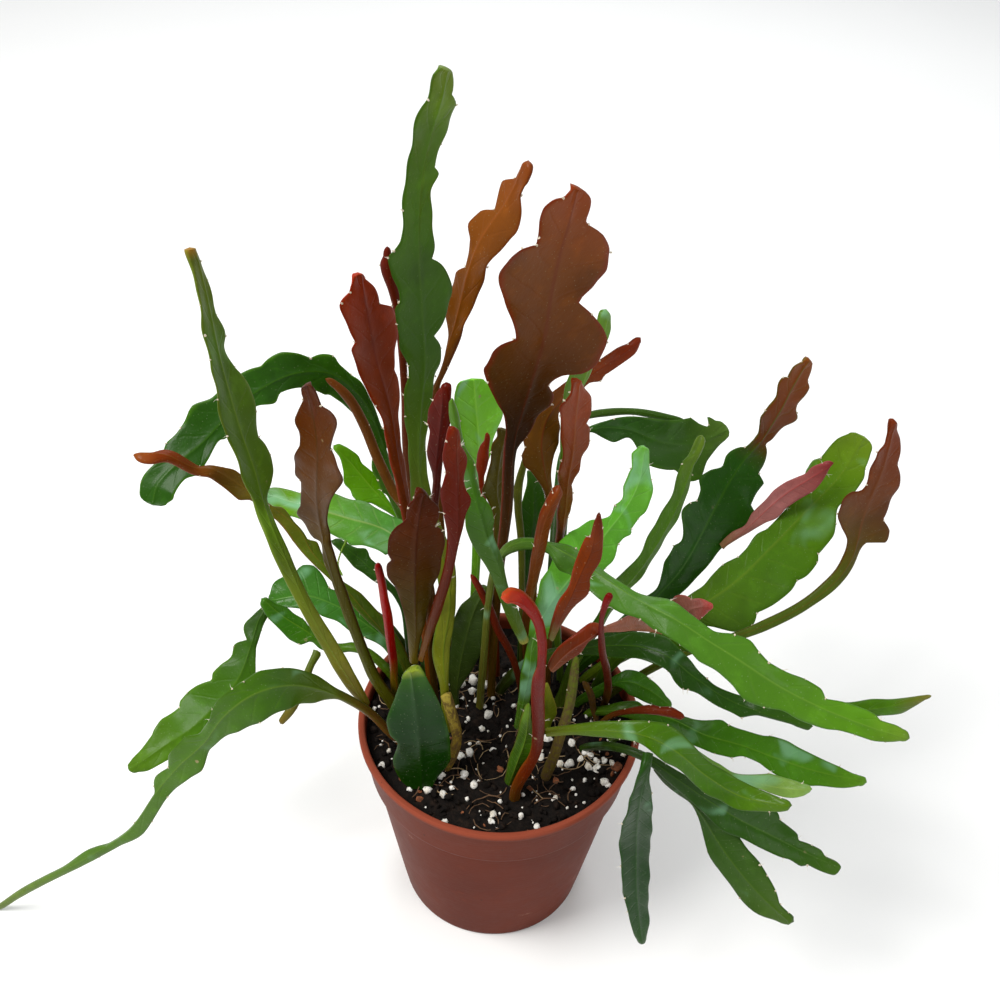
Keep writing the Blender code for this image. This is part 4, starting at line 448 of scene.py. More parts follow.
           (700, 752), (710, 762), (720, 768), (740, 779), (760, 789), (780, 798)],
        R=[(545, 737), (570, 735), (600, 737), (620, 739), (635, 742), (650, 750), (665, 762), (680, 770),
           (695, 785), (705, 793), (720, 800), (735, 808), (750, 811), (770, 812), (785, 811)]),
    "corky_base_right": dict(slot=CORK, base=4.0, n=10, fat=1.3, root=1, mid=[
        (546, 777, -27), (554, 755, -26), (560, 735, -24), (567, 712, -20), (572, 690, -15), (576, 657, -8)],
        L=[(541, 774), (550, 752), (556, 733), (563, 712), (567, 690), (573, 658)],
        R=[(550, 779), (559, 757), (565, 737), (572, 714), (577, 690), (579, 658)], blunt=0.7),
    "stem_pale_centre_right": dict(slot=PALE, base=4.5, n=18, k=(0.3, 0.3), h=(0.0, 0.3), root=1, mid=[
        (517, 728, -3), (523, 700, -5), (529, 670, -6), (532, 640, -5), (545, 610, -1), (566, 582, 5),
        (588, 556, 11), (606, 532, 17), (626, 505, 23), (638, 480, 27), (643, 446, 31)],
        L=[(514, 725), (518, 700), (521, 672), (527, 645), (533, 610), (537, 595), (541, 580), (548, 570),
           (556, 552), (562, 540), (570, 532), (578, 528), (590, 520), (600, 519), (612, 514), (615, 505, 1),
           (622, 499), (624, 485), (628, 473), (631, 468, 1), (632, 455), (638, 449)],
        R=[(527, 715), (531, 695), (536, 670), (540, 645), (553, 636), (565, 620), (575, 605), (592, 590),
           (606, 568), (612, 562), (617, 550), (619, 545, 1), (625, 538), (632, 534), (632, 529, 1), (640, 518),
           (646, 512), (650, 500), (653, 490), (652, 480, 1), (650, 465), (649, 452)]),
    "stem_red_strap": dict(slot=RED, base=4.0, n=14, h=(0.3, 0.3), root=1, mid=[
        (529, 686, 20), (527, 650, 14), (527, 618, 5), (530, 590, -5), (534, 560, -11), (541, 525, -13),
        (549, 503, -13), (559, 486, -12)],
        L=[(524, 600), (528, 580), (531, 560), (534, 545), (540, 515), (546, 504), (553, 492)],
        R=[(533, 600), (538, 580), (543, 560), (546, 545), (551, 525), (555, 510), (560, 498), (562, 486)]),
    "stem_red_mid_right": dict(slot=RED, base=3.6, n=16, h=(-0.2, 0.8), root=1, mid=[
        (546, 695, 15), (549, 640, 17), (554, 580, 19), (559, 545, 17), (564, 510, 9), (566, 485, 3), (571, 450, -2),
        (573, 420, -3), (575, 400, -3), (577, 379, -3)],
        L=[(556, 535), (557, 510), (560, 490), (558, 480), (557, 470), (561, 459, 1), (562, 445), (560, 430), (558, 415),
           (557, 407), (562, 400, 1), (568, 392), (570, 384)],
        R=[(563, 540), (568, 517), (572, 500), (573, 492), (571, 483, 1), (577, 470), (582, 457), (588, 440),
           (588, 428), (584, 422, 1), (588, 408), (590, 397), (584, 387), (580, 381)]),
    "stem_brown_back_right": dict(slot=BROWN, base=3.2, n=18, h=(0.3, 0.0), root=1, mid=[
        (538, 674, 27), (535, 610, 24), (538, 560, 22), (543, 525, 21), (549, 500, 20), (544, 470, 19), (541, 440, 19),
        (548, 414, 21), (566, 394, 25), (590, 374, 30), (615, 357, 35), (640, 338, 38)],
        L=[(545, 505), (543, 490), (537, 480), (530, 470), (523, 463), (521, 455), (525, 447, 1), (523, 440),
           (525, 435), (530, 425), (537, 416), (545, 407), (551, 392), (560, 385), (575, 376), (600, 360),
           (615, 349), (628, 344, 1), (634, 339)],
        R=[(549, 505), (553, 495), (552, 485), (551, 470), (554, 455), (559, 441), (560, 430), (560, 410), (566, 405),
           (588, 384), (601, 381), (603, 376, 1), (615, 368), (633, 355), (640, 343)]),
    "stem_green_back_right": dict(slot=PALE, base=3.2, n=14, h=(0.3, 0.3), root=1, mid=[
        (560, 681, 25), (558, 620, 27), (562, 560, 28), (567, 500, 22), (572, 440, 18), (577, 398, 17),
        (588, 365, 18), (601, 335, 20), (606, 310, 21)],
        L=[(562, 398), (563, 388), (571, 370), (582, 345), (595, 328), (598, 316), (601, 311)],
        R=[(580, 392), (592, 372), (600, 352), (610, 330), (610, 320)]),
    "stem_dark_back_centre": dict(slot=DARK, base=4.5, n=12, h=(0.2, 0.2), root=1, mid=[
        (521, 664, 33), (523, 620, 35), (526, 575, 37), (530, 540, 38), (533, 505, 39), (530, 470, 40)],
        L=[(521, 590), (520, 560), (523, 550, 1), (521, 535), (519, 510), (523, 497), (527, 480), (527, 472)],
        R=[(528, 600), (531, 580), (535, 555), (541, 525), (545, 508), (544, 495), (540, 483), (534, 474)]),
    # ------------------------------------------------ right side
    "stem_long_front_right": dict(slot=GREEN, base=4.0, n=22, k=(0.4, 0.9), root=1, mid=[
        (480, 706, 7), (485, 650, 3), (490, 600, 0), (498, 565, -2), (510, 549, -3), (528, 544, -4), (548, 547, -6),
        (575, 560, -10), (605, 580, -15), (640, 602, -20), (675, 620, -25), (710, 642, -30), (745, 664, -35),
        (790, 692, -41), (840, 715, -47), (875, 728, -51), (909, 738, -54)],
        L=[(500, 550), (510, 541), (525, 538), (548, 542), (575, 547), (600, 568), (632, 590), (672, 600),
           (690, 613), (712, 630), (735, 634), (750, 640), (760, 652), (770, 663, 1), (783, 670), (805, 679),
           (820, 688), (826, 699, 1), (850, 704), (865, 709), (875, 714), (880, 720, 1), (893, 724), (903, 729),
           (908, 734)],
        R=[(503, 560), (515, 552), (530, 549), (545, 552), (560, 570), (575, 577), (600, 600), (620, 612),
           (640, 619), (655, 630), (680, 645), (690, 652), (700, 662), (715, 670), (730, 683), (745, 700),
           (765, 708), (785, 712), (800, 721), (820, 728), (838, 730, 1), (855, 735), (870, 740), (885, 742), (900, 741)]),
    "stem_under_front_right": dict(slot=DARK, base=4.0, n=18, k=(0.7, 0.8), root=1, mid=[
        (499, 693, 15), (520, 670, 8), (545, 656, 4), (575, 651, 2), (605, 647, -1), (640, 648, -5), (668, 658, -9),
        (692, 676, -13), (725, 698, -18), (760, 712, -23), (812, 726, -28)],
        L=[(515, 665), (545, 650), (580, 644), (606, 637), (625, 633), (645, 632), (665, 638), (680, 650), (690, 660),
           (700, 672), (707, 678, 1), (715, 685), (730, 692), (745, 697), (770, 706), (795, 716)],
        R=[(524, 675), (550, 663), (583, 656), (600, 656), (620, 658), (640, 660), (655, 665), (668, 672), (676, 683),
           (682, 689), (687, 690, 1), (700, 695), (715, 705), (730, 712), (741, 718, 1), (760, 716), (775, 720),
           (790, 724), (797, 727), (806, 730)]),
    "stem_far_right_point": dict(slot=GREEN, base=3.5, n=14, k=(0.8, 0.8), root=1, mid=[
        (592, 694, 18), (612, 665, 12), (640, 645, 6), (690, 644, -3), (740, 666, -11), (790, 694, -18),
        (840, 710, -24), (885, 707, -29), (931, 696, -33)],
        L=[(700, 636), (745, 657), (800, 688), (842, 702), (870, 699), (890, 699), (910, 697), (925, 695)],
        R=[(690, 652), (736, 676), (786, 704), (840, 719), (860, 719), (880, 716), (900, 714), (912, 708), (925, 700)]),
    "stem_dark_back_right": dict(slot=DARK, base=3.2, n=16, k=(0.2, 0.3), root=1, mid=[
        (552, 664, 34), (552, 600, 46), (557, 540, 56), (562, 490, 64), (570, 450, 70), (590, 430, 74),
        (625, 429, 80), (665, 443, 86), (700, 442, 92), (728, 430, 97)],
        L=[(566, 440), (588, 427), (605, 421), (615, 418, 1), (645, 417), (665, 420), (690, 418, 1), (707, 417),
           (709, 427, 1), (717, 421), (725, 424)],
        R=[(588, 433), (603, 438), (612, 442), (629, 438), (638, 450), (650, 466), (665, 470), (674, 470, 1),
           (690, 482), (698, 480), (708, 460), (720, 445), (727, 438)]),
    "stem_edge_on_right": dict(slot=GREEN, base=5.0, n=16, fat=1.3, h=(0.8, 0.8), root=1, mid=[
        (560, 704, 11), (578, 655, 12), (600, 620, 14), (620, 590, 17), (640, 565, 21), (660, 534, 27),
        (677, 500, 33), (690, 465, 38), (702, 436, 42)],
        L=[(570, 660), (592, 625), (614, 583), (634, 562), (652, 532), (669, 500), (682, 465), (693, 452), (699, 440)],
        R=[(586, 650), (608, 618), (628, 592), (648, 567), (668, 536), (685, 500), (693, 475), (697, 458), (703, 442)]),
    "stem_dark_lobed_right": dict(slot=DARK, base=4.5, n=22, k=(0.2, 0.2), h=(0.2, 0.6), root=1, mid=[
        (574, 670, 28), (596, 650, 30), (625, 625, 37), (655, 597, 45), (680, 570, 50), (700, 535, 54),
        (718, 500, 58), (738, 466, 62), (762, 437, 65), (779, 410, 67), (792, 385, 68), (808, 358, 69)],
        L=[(640, 600), (655, 590), (662, 572), (665, 560), (673, 545, 1), (681, 540), (682, 510), (690, 502),
           (696, 501, 1), (699, 490), (698, 478), (708, 470), (722, 465), (726, 456), (740, 447), (745, 447, 1),
           (757, 435), (758, 425), (759, 415), (764, 410), (768, 411, 1), (775, 398), (778, 382), (782, 377),
           (787, 377, 1), (791, 366), (797, 362), (801, 362, 1), (805, 358)],
        R=[(668, 605), (692, 582), (705, 568), (722, 548), (742, 532), (754, 520), (749, 505, 1), (755, 495),
           (763, 483), (758, 473, 1), (762, 467), (766, 450), (765, 443, 1), (772, 438), (783, 427), (797, 418),
           (796, 411, 1), (798, 403), (808, 387), (807, 380, 1), (812, 364)]),
    "shoot_pink_right": dict(slot=PINK, base=3.0, n=11, k=(0.2, 0.3), mid=[
        (722, 547, 54.75), (745, 530, 50.75), (765, 511, 46.75), (785, 494, 43.75), (808, 479, 41.75), (833, 463, 40.75)],
        L=[(722, 542), (732, 532), (745, 525), (752, 513), (765, 500), (775, 489), (785, 482), (797, 477), (805, 474), (812, 467), (822, 463)],
        R=[(727, 546), (738, 539), (750, 532), (765, 523), (778, 517), (786, 508, 1), (797, 501), (812, 492), (821, 483), (826, 475), (831, 466)]),
    "stem_broad_right": dict(slot=BRIGHT, base=4.5, n=20, k=(0.3, 0.5), root=1, mid=[
        (584, 680, 26), (620, 655, 27), (660, 632, 29), (700, 606, 32), (735, 582, 36), (770, 548, 41),
        (805, 512, 47), (838, 478, 51), (864, 437, 55)],
        L=[(650, 632), (692, 593), (700, 588), (712, 575), (722, 565), (738, 557, 1), (745, 550), (755, 536),
           (766, 530, 1), (785, 510), (800, 490), (806, 470), (812, 461), (820, 458, 1), (835, 440), (848, 433)],
        R=[(670, 640), (700, 627), (740, 632), (752, 626), (757, 613, 1), (775, 604), (790, 592), (796, 582, 1),
           (808, 575), (817, 563), (818, 555, 1), (832, 538), (836, 523, 1), (840, 505), (855, 492), (863, 480),
           (865, 468, 1), (871, 452), (870, 440)], blunt=0.3),
    "stem_curled_far_right": dict(slot=BROWN, base=3.6, n=22, k=(0.6, 0.2), h=(0.0, 0.6), root=1, mid=[
        (606, 698, 17), (640, 675, 16), (690, 650, 15), (735, 636, 17), (765, 625, 19), (805, 604, 21),
        (838, 576, 23), (852, 552, 24), (860, 522, 25), (870, 495, 25), (882, 465, 25), (893, 419, 25)],
        L=[(735, 632), (765, 619), (803, 599), (833, 572), (844, 555), (847, 540), (840, 525), (835, 512),
           (838, 500), (850, 491), (861, 490), (866, 484), (870, 470), (875, 452), (885, 442), (889, 425)],
        R=[(740, 640), (768, 630), (808, 609), (843, 581), (858, 555), (865, 542), (883, 541), (887, 530),
           (882, 518, 1), (888, 505), (896, 488), (898, 475), (896, 463, 1), (900, 440), (896, 428)]),
    "shoot_bud_pink_right": dict(slot=PINK, base=3.5, n=8, k=(0.3, 0.3), mid=[
        (682, 618, 29), (690, 610, 23), (700, 607, 17), (712, 606, 12)],
        L=[(672, 606), (675, 596), (683, 594), (692, 599, 1), (700, 598), (708, 602)],
        R=[(690, 622), (698, 622), (703, 617), (708, 611)]),
    "stem_short_right": dict(slot=GREEN, base=3.5, n=12, k=(0.8, 0.8), root=1, mid=[
        (577, 703, 12.4), (600, 690, 9), (625, 682, 6), (648, 690, 3), (671, 706, 1)],
        L=[(600, 684), (612, 677), (620, 673), (627, 670), (640, 672), (650, 678), (660, 687), (666, 696)],
        R=[(600, 697), (612, 687), (630, 695), (645, 702), (656, 706), (665, 708)]),
    "shoot_red_low_right": dict(slot=RED, base=2.6, n=10, k=(0.5, 0.5), root=1, mid=[
        (598, 728, 0), (610, 717, -6), (630, 711, -10), (652, 710, -13), (670, 712, -15), (684, 717, -17)],
        L=[(612, 712), (625, 709), (640, 706), (651, 705), (660, 707), (670, 707), (678, 711)],
        R=[(615, 717), (630, 714), (650, 714), (665, 716), (678, 719)]),
    "stem_right_middle": dict(slot=GREEN, base=3.5, n=18, k=(0.8, 0.8), root=1, mid=[
        (588, 714, 7), (612, 711, 2), (640, 711, -1), (672, 719, -4), (705, 735, -7), (740, 745, -10),
        (775, 758, -14), (815, 771, -18), (866, 782, -23)],
        L=[(608, 705), (620, 702), (637, 701), (645, 706), (660, 710), (690, 718), (710, 720), (722, 720),
           (728, 724, 1), (740, 729), (760, 735), (771, 736, 1), (785, 740), (800, 748), (820, 758), (840, 767, 1),
           (855, 774), (865, 777)],
        R=[(610, 716), (640, 722), (665, 735), (688, 743), (700, 748), (715, 754), (732, 758, 1), (745, 757),
           (757, 762), (770, 771), (785, 780), (800, 785), (820, 786), (840, 788), (858, 786)]),
    "stem_silvery_front_right": dict(slot=PALE, base=3.2, n=14, k=(0.8, 0.8), root=1, mid=[
        (612, 739, -6), (640, 734, -20), (680, 748, -28), (715, 770, -33), (750, 781, -37), (785, 788, -40), (811, 789, -42)],
        L=[(640, 728), (684, 742), (718, 763), (735, 773), (760, 774), (770, 773, 1), (790, 779), (801, 783, 1), (808, 785)],
        R=[(640, 740), (676, 755), (712, 778), (745, 785), (760, 789), (770, 793), (790, 798), (803, 796), (808, 793)]),
    "stem_dark_front_right": dict(slot=DARK, base=3.8, n=18, k=(0.8, 0.8), root=1, mid=[
        (582, 749, -12), (612, 746, -26), (645, 757, -34), (675, 777, -39), (705, 798, -43), (740, 820, -47),
        (780, 840, -51), (810, 855, -54), (840, 868, -56)],
        L=[(612, 742), (645, 752), (680, 772), (715, 792), (760, 805), (777, 812), (780, 820, 1), (790, 828), (797, 834),
           (798, 840, 1), (812, 845), (820, 849), (825, 856, 1), (832, 859)],
        R=[(612, 751), (640, 760), (668, 782), (695, 805), (725, 832), (745, 840), (760, 848), (775, 855), (783, 858, 1),
           (790, 860), (800, 866), (808, 865, 1), (820, 871), (832, 875)]),
    "stem_hanging_front_right": dict(slot=GREEN, base=3.4, n=15, k=(0.6, 0.2), mid=[
        (656, 768, -36), (680, 790, -39.5), (700, 812, -44), (716, 838, -48.5), (738, 868, -56), (765, 898, -64.5),
        (793, 921, -72)],
        L=[(684, 782), (700, 789), (720, 812), (741, 838), (750, 850), (760, 863, 1), (768, 875), (776, 890),
           (780, 903, 1), (788, 912)],
        R=[(665, 784), (678, 794), (690, 803), (697, 815), (703, 835), (708, 852, 1), (715, 865), (727, 880),
           (740, 898), (755, 910), (775, 920), (788, 924)]),
    "stem_drooping_front": dict(slot=DARK, base=3.0, n=16, h=(0.4, 0.4), mid=[
        (648, 753, -47), (645, 767, -52), (640, 790, -57), (636, 820, -61), (635, 850, -64), (635, 880, -67),
        (637, 910, -69), (641, 943, -71)],
        R=[(643, 762), (637, 778), (633, 790), (628, 805), (621, 822), (619, 845), (620, 865), (622, 890),
           (624, 897, 1), (627, 910), (632, 930), (637, 940)],
        L=[(650, 762), (648, 778), (651, 792, 1), (652, 812), (650, 840), (649, 870), (648, 885), (649, 915), (646, 935)]),
}


ROOT_Z = 0.0955


def rooted(spec):
    """Add a buried end to a stem: the middle line runs on into the peat."""
    s = dict(spec)
    u, v, y = s["mid"][0]
    p = at(u, v, y / 1000.0)
    q = p.copy()
    q[2] = ROOT_Z
    q[0] *= 0.97
    q[1] = q[1] * 0.97
    d = q - EYE
    w = float(d @ _f)
    uu = 500 + SCALE * float(d @ _r) / w
    vv = 500 - SCALE * float(d @ _u) / w
    s["mid"] = [(uu, vv, q[1] * 1000.0)] + list(s["mid"])
    return s


# ------------------------------------------------------------------ looks
def deep(c):
    """A stem colour without the veil that daylight lays over it."""
    r, g, b, a = lin(c)
    top = max(r, g, b)
    return (max(r * 1.04 - 0.06 * top, 0.002), max(g * 1.02 - 0.06 * top, 0.002), max(b * 0.62 - 0.05 * top, 0.001), a)


def lin(c):
    """sRGB 0-255 to linear RGBA."""
    out = []
    for x in c[:3]:
        x = x / 255.0
        out.append(x / 12.92 if x <= 0.04045 else ((x + 0.055) / 1.055) ** 2.4)
    return (out[0], out[1], out[2], 1.0)


# Colours along each stem, base to tip (share of length, sRGB), then the
# margin's colour and strength, the midrib's, and how much painted sky sheen it has.
LOOK = {
    "stem_long_trailing_left": dict(c=[(0, (120, 82, 50)), (.12, (104, 78, 40)), (.2, (78, 100, 36)), (.3, (62, 104, 34)), (.55, (74, 118, 40)), (.8, (82, 124, 48)), (1, (96, 120, 56))], edge=(58, 92, 26), es=.5, rib=(104, 140, 62), sheen=.35, gloss=.34),
    "stem_tall_left": dict(c=[(0, (92, 84, 44)), (.15, (84, 92, 44)), (.4, (66, 94, 42)), (.8, (62, 94, 44)), (.97, (74, 88, 44)), (1, (130, 96, 60))], edge=(84, 100, 48), es=.5, rib=(88, 116, 60), sheen=.12, gloss=.45, fold=.16),
    "stem_back_left_arch": dict(c=[(0, (70, 80, 34)), (.4, (52, 84, 28)), (.6, (46, 84, 26)), (.85, (42, 80, 24)), (1, (46, 86, 26))], edge=(84, 126, 44), es=.6, rib=(66, 104, 38), sheen=.1, gloss=.36),
    "stem_thin_back_left": dict(c=[(0, (86, 70, 40)), (.5, (104, 66, 44)), (1, (112, 62, 44))], edge=(122, 72, 52), es=.4, rib=(120, 80, 56), sheen=.1, gloss=.4),
    "stem_red_tip_far_left": dict(c=[(0, (84, 92, 44)), (.25, (76, 98, 40)), (.45, (84, 100, 44)), (.62, (96, 96, 46)), (.74, (110, 84, 52)), (.84, (118, 66, 44)), (.94, (132, 60, 46)), (1, (150, 84, 64))], edge=(128, 62, 48), es=.5, rib=(130, 96, 66), sheen=.25, gloss=.38),
    "stem_brown_left": dict(c=[(0, (96, 92, 48)), (.2, (86, 86, 42)), (.5, (84, 70, 36)), (.62, (92, 58, 26)), (.8, (100, 54, 22)), (.93, (94, 44, 26)), (1, (86, 36, 26))], edge=(72, 34, 18), es=.6, rib=(70, 44, 18), sheen=.05, gloss=.42),
    "shoot_red_left": dict(c=[(0, (126, 122, 50)), (.25, (116, 90, 36)), (.38, (140, 30, 30)), (.8, (164, 22, 32)), (1, (128, 16, 24))], edge=(112, 14, 20), es=.5, rib=(178, 44, 48), sheen=.1, gloss=.35),
    "stem_mid_left_blade": dict(c=[(0, (70, 92, 40)), (.35, (66, 112, 46)), (.55, (82, 142, 70)), (.75, (92, 148, 62)), (.9, (104, 156, 46)), (1, (96, 146, 40))], edge=(52, 96, 36), es=.4, rib=(150, 178, 110), sheen=1.0, gloss=.22, veins=1.6),
    "stem_back_left_blade": dict(c=[(0, (70, 92, 34)), (.5, (84, 136, 40)), (1, (104, 158, 46))], edge=(64, 112, 32), es=.4, rib=(130, 170, 84), sheen=.1, gloss=.34),
    "stem_dark_left_blade": dict(c=[(0, (44, 66, 26)), (.6, (38, 72, 24)), (1, (48, 84, 28))], edge=(60, 96, 34), es=.5, rib=(66, 104, 42), sheen=.1, gloss=.34),
    "stem_low_left_blade": dict(c=[(0, (70, 92, 40)), (.3, (66, 112, 52)), (.6, (72, 126, 78)), (1, (68, 116, 60))], edge=(54, 100, 44), es=.5, rib=(110, 156, 104), sheen=1.0, gloss=.22, veins=1.4),
    "stem_lower_left_hanging": dict(c=[(0, (60, 76, 30)), (.3, (48, 72, 26)), (.45, (40, 68, 24)), (.6, (60, 98, 32)), (.8, (74, 116, 38)), (1, (88, 124, 44))], edge=(92, 132, 48), es=.5, rib=(84, 120, 44), sheen=.15, gloss=.4),
    "stem_low_left_twisted": dict(c=[(0, (80, 98, 44)), (.35, (84, 116, 46)), (.55, (70, 110, 36)), (.8, (58, 108, 40)), (1, (66, 112, 40))], edge=(50, 88, 30), es=.4, rib=(104, 140, 62), sheen=.3, gloss=.3),
    "stem_thin_hanging_left": dict(c=[(0, (92, 108, 50)), (.6, (98, 104, 54)), (1, (120, 100, 64))], edge=(80, 96, 44), es=.4, rib=(116, 130, 70), sheen=.1, gloss=.4),
    "stem_red_mid_left": dict(c=[(0, (90, 70, 36)), (.4, (98, 58, 36)), (.6, (112, 60, 38)), (.75, (122, 64, 46)), (.9, (134, 64, 50)), (1, (142, 62, 50))], edge=(120, 46, 40), es=.6, rib=(108, 48, 40), sheen=.12, gloss=.4),
    "stem_dark_red_behind": dict(c=[(0, (80, 60, 34)), (.5, (96, 48, 36)), (1, (104, 36, 36))], edge=(86, 24, 26), es=.5, rib=(110, 50, 44), sheen=.05, gloss=.4),
    "corky_base_left": dict(c=[(0, (120, 96, 66)), (.5, (160, 132, 92)), (1, (186, 166, 124))], edge=(110, 84, 56), es=.5, rib=(190, 168, 128), sheen=0, gloss=.85, cork=1),
    "stem_tallest_green": dict(c=[(0, (120, 116, 60)), (.1, (96, 98, 48)), (.3, (84, 88, 38)), (.42, (72, 92, 40)), (.6, (58, 90, 36)), (.75, (66, 100, 46)), (.9, (76, 106, 54)), (1, (88, 104, 58))], edge=(48, 76, 30), es=.6, rib=(72, 104, 50), sheen=.25, gloss=.42),
    "blade_front_cut": dict(c=[(0, (26, 48, 18)), (.5, (22, 52, 20)), (.8, (34, 66, 24)), (.93, (60, 88, 34)), (1, (180, 164, 120))], edge=(60, 84, 40), es=.55, rib=(30, 56, 22), sheen=.15, gloss=.2, veins=.25),
    "stem_brown_front": dict(c=[(0, (116, 108, 56)), (.15, (92, 84, 40)), (.35, (86, 74, 30)), (.6, (96, 60, 24)), (.85, (108, 54, 28)), (1, (100, 48, 30))], edge=(84, 30, 22), es=.6, rib=(74, 30, 20), sheen=.2, gloss=.38),
    "stem_red_front_tall": dict(c=[(0, (112, 78, 44)), (.2, (96, 44, 30)), (.5, (98, 34, 24)), (.8, (112, 40, 28)), (1, (124, 50, 38))], edge=(110, 22, 22), es=.5, rib=(86, 28, 22), sheen=.1, gloss=.38),
    "stem_red_front_behind": dict(c=[(0, (80, 60, 30)), (.5, (76, 30, 20)), (.8, (98, 28, 22)), (1, (110, 34, 28))], edge=(120, 26, 26), es=.5, rib=(80, 24, 20), sheen=.05, gloss=.38),
    "stem_brown_twisted": dict(c=[(0, (96, 76, 40)), (.3, (92, 58, 36)), (.55, (104, 62, 40)), (.75, (122, 68, 40)), (.9, (132, 74, 52)), (1, (138, 72, 58))], edge=(112, 48, 36), es=.5, rib=(150, 84, 70), sheen=.1, gloss=.42),
    "blade_grey_centre": dict(c=[(0, (60, 70, 40)), (.5, (62, 82, 50)), (1, (70, 92, 52))], edge=(52, 70, 34), es=.5, rib=(92, 110, 72), sheen=.4, gloss=.4),
    "stem_centre_green": dict(c=[(0, (190, 180, 140)), (.03, (96, 112, 58)), (.2, (70, 104, 40)), (.6, (62, 104, 34)), (1, (84, 124, 44))], edge=(88, 128, 50), es=.5, rib=(56, 96, 32), sheen=.4, gloss=.3),
    "stem_pale_back": dict(c=[(0, (80, 96, 46)), (.5, (96, 142, 60)), (.8, (122, 176, 92)), (1, (112, 168, 84))], edge=(88, 140, 60), es=.4, rib=(150, 196, 120), sheen=.9, gloss=.22, veins=1.8),
    "stem_big_brown": dict(c=[(0, (96, 84, 46)), (.3, (80, 56, 24)), (.5, (54, 32, 14)), (.62, (86, 58, 24)), (.72, (110, 70, 34)), (.84, (122, 78, 46)), (.93, (138, 84, 68)), (1, (150, 84, 74))], edge=(134, 52, 44), es=.6, rib=(110, 54, 44), sheen=.08, gloss=.42, fold=.1),
    "stem_olive_centre": dict(c=[(0, (110, 84, 56)), (.4, (104, 76, 46)), (.65, (84, 80, 36)), (1, (88, 74, 36))], edge=(80, 44, 28), es=.5, rib=(96, 84, 44), sheen=.15, gloss=.4),
    "blade_cut_centre": dict(c=[(0, (56, 84, 34)), (.5, (74, 110, 42)), (1, (96, 126, 56))], edge=(96, 60, 36), es=.4, rib=(150, 176, 104), sheen=.2, gloss=.34, veins=1.8),
    "shoot_red_arch": dict(c=[(0, (96, 70, 40)), (.15, (104, 44, 28)), (.35, (88, 30, 22)), (.6, (112, 30, 26)), (.8, (134, 36, 32)), (.92, (150, 44, 40)), (1, (196, 84, 80))], edge=(140, 76, 48), es=.5, rib=(104, 26, 22), sheen=.1, gloss=.36),
    "shoot_red_dagger": dict(c=[(0, (120, 96, 60)), (.15, (124, 50, 38)), (.5, (136, 54, 40)), (.8, (140, 58, 46)), (1, (112, 36, 30))], edge=(164, 56, 50), es=.6, rib=(96, 36, 26), sheen=.1, gloss=.36),
    "shoot_pink_side": dict(c=[(0, (104, 56, 34)), (.25, (100, 44, 30)), (.45, (118, 52, 40)), (.55, (150, 92, 82)), (.8, (156, 104, 92)), (1, (140, 96, 76))], edge=(128, 44, 40), es=.5, rib=(160, 100, 90), sheen=.2, gloss=.34),
    "shoot_thin_red_right": dict(c=[(0, (96, 78, 44)), (.3, (84, 30, 24)), (.7, (104, 24, 26)), (1, (120, 30, 30))], edge=(96, 20, 22), es=.4, rib=(120, 40, 40), sheen=0, gloss=.4),
    "stem_bright_front_right": dict(c=[(0, (112, 128, 56)), (.15, (92, 130, 48)), (.4, (82, 136, 42)), (.7, (74, 128, 38)), (1, (92, 138, 52))], edge=(66, 104, 34), es=.5, rib=(120, 162, 74), sheen=.35, gloss=.3),
    "corky_base_right": dict(c=[(0, (92, 76, 48)), (.4, (110, 96, 60)), (.7, (96, 104, 56)), (1, (104, 116, 62))], edge=(84, 72, 44), es=.4, rib=(128, 118, 78), sheen=0, gloss=.75, cork=1),
    "stem_pale_centre_right": dict(c=[(0, (92, 110, 50)), (.3, (84, 120, 44)), (.55, (96, 146, 60)), (.75, (108, 164, 72)), (1, (122, 176, 76))], edge=(88, 138, 54), es=.4, rib=(150, 190, 116), sheen=.9, gloss=.22, veins=1.4),
    "stem_red_strap": dict(c=[(0, (92, 70, 38)), (.4, (104, 56, 30)), (.7, (116, 60, 34)), (1, (126, 62, 48))], edge=(112, 40, 32), es=.5, rib=(140, 84, 60), sheen=.1, gloss=.4),
    "stem_red_mid_right": dict(c=[(0, (84, 64, 34)), (.5, (98, 54, 34)), (.75, (124, 64, 48)), (.92, (136, 66, 56)), (1, (146, 70, 62))], edge=(112, 40, 34), es=.5, rib=(146, 90, 76), sheen=.2, gloss=.38),
    "stem_brown_back_right": dict(c=[(0, (90, 70, 38)), (.35, (98, 62, 34)), (.55, (104, 70, 40)), (.7, (110, 68, 42)), (.85, (128, 62, 50)), (1, (140, 56, 50))], edge=(96, 40, 30), es=.5, rib=(120, 44, 42), sheen=.15, gloss=.4),
    "stem_green_back_right": dict(c=[(0, (70, 88, 40)), (.5, (76, 110, 46)), (.8, (110, 146, 84)), (1, (104, 142, 76))], edge=(74, 112, 46), es=.4, rib=(130, 164, 104), sheen=.5, gloss=.3),
    "stem_dark_back_centre": dict(c=[(0, (40, 60, 26)), (.6, (34, 66, 24)), (1, (52, 88, 34))], edge=(70, 108, 44), es=.4, rib=(56, 90, 38), sheen=.2, gloss=.34),
    "stem_long_front_right": dict(c=[(0, (84, 80, 44)), (.2, (80, 88, 44)), (.33, (58, 96, 40)), (.5, (62, 104, 46)), (.75, (66, 108, 42)), (.92, (76, 122, 42)), (1, (96, 128, 56))], edge=(48, 86, 28), es=.5, rib=(92, 128, 66), sheen=.45, gloss=.36),
    "stem_under_front_right": dict(c=[(0, (60, 66, 34)), (.25, (44, 66, 26)), (.5, (38, 70, 26)), (.8, (44, 80, 28)), (1, (58, 92, 36))], edge=(60, 98, 36), es=.5, rib=(72, 106, 46), sheen=.3, gloss=.3),
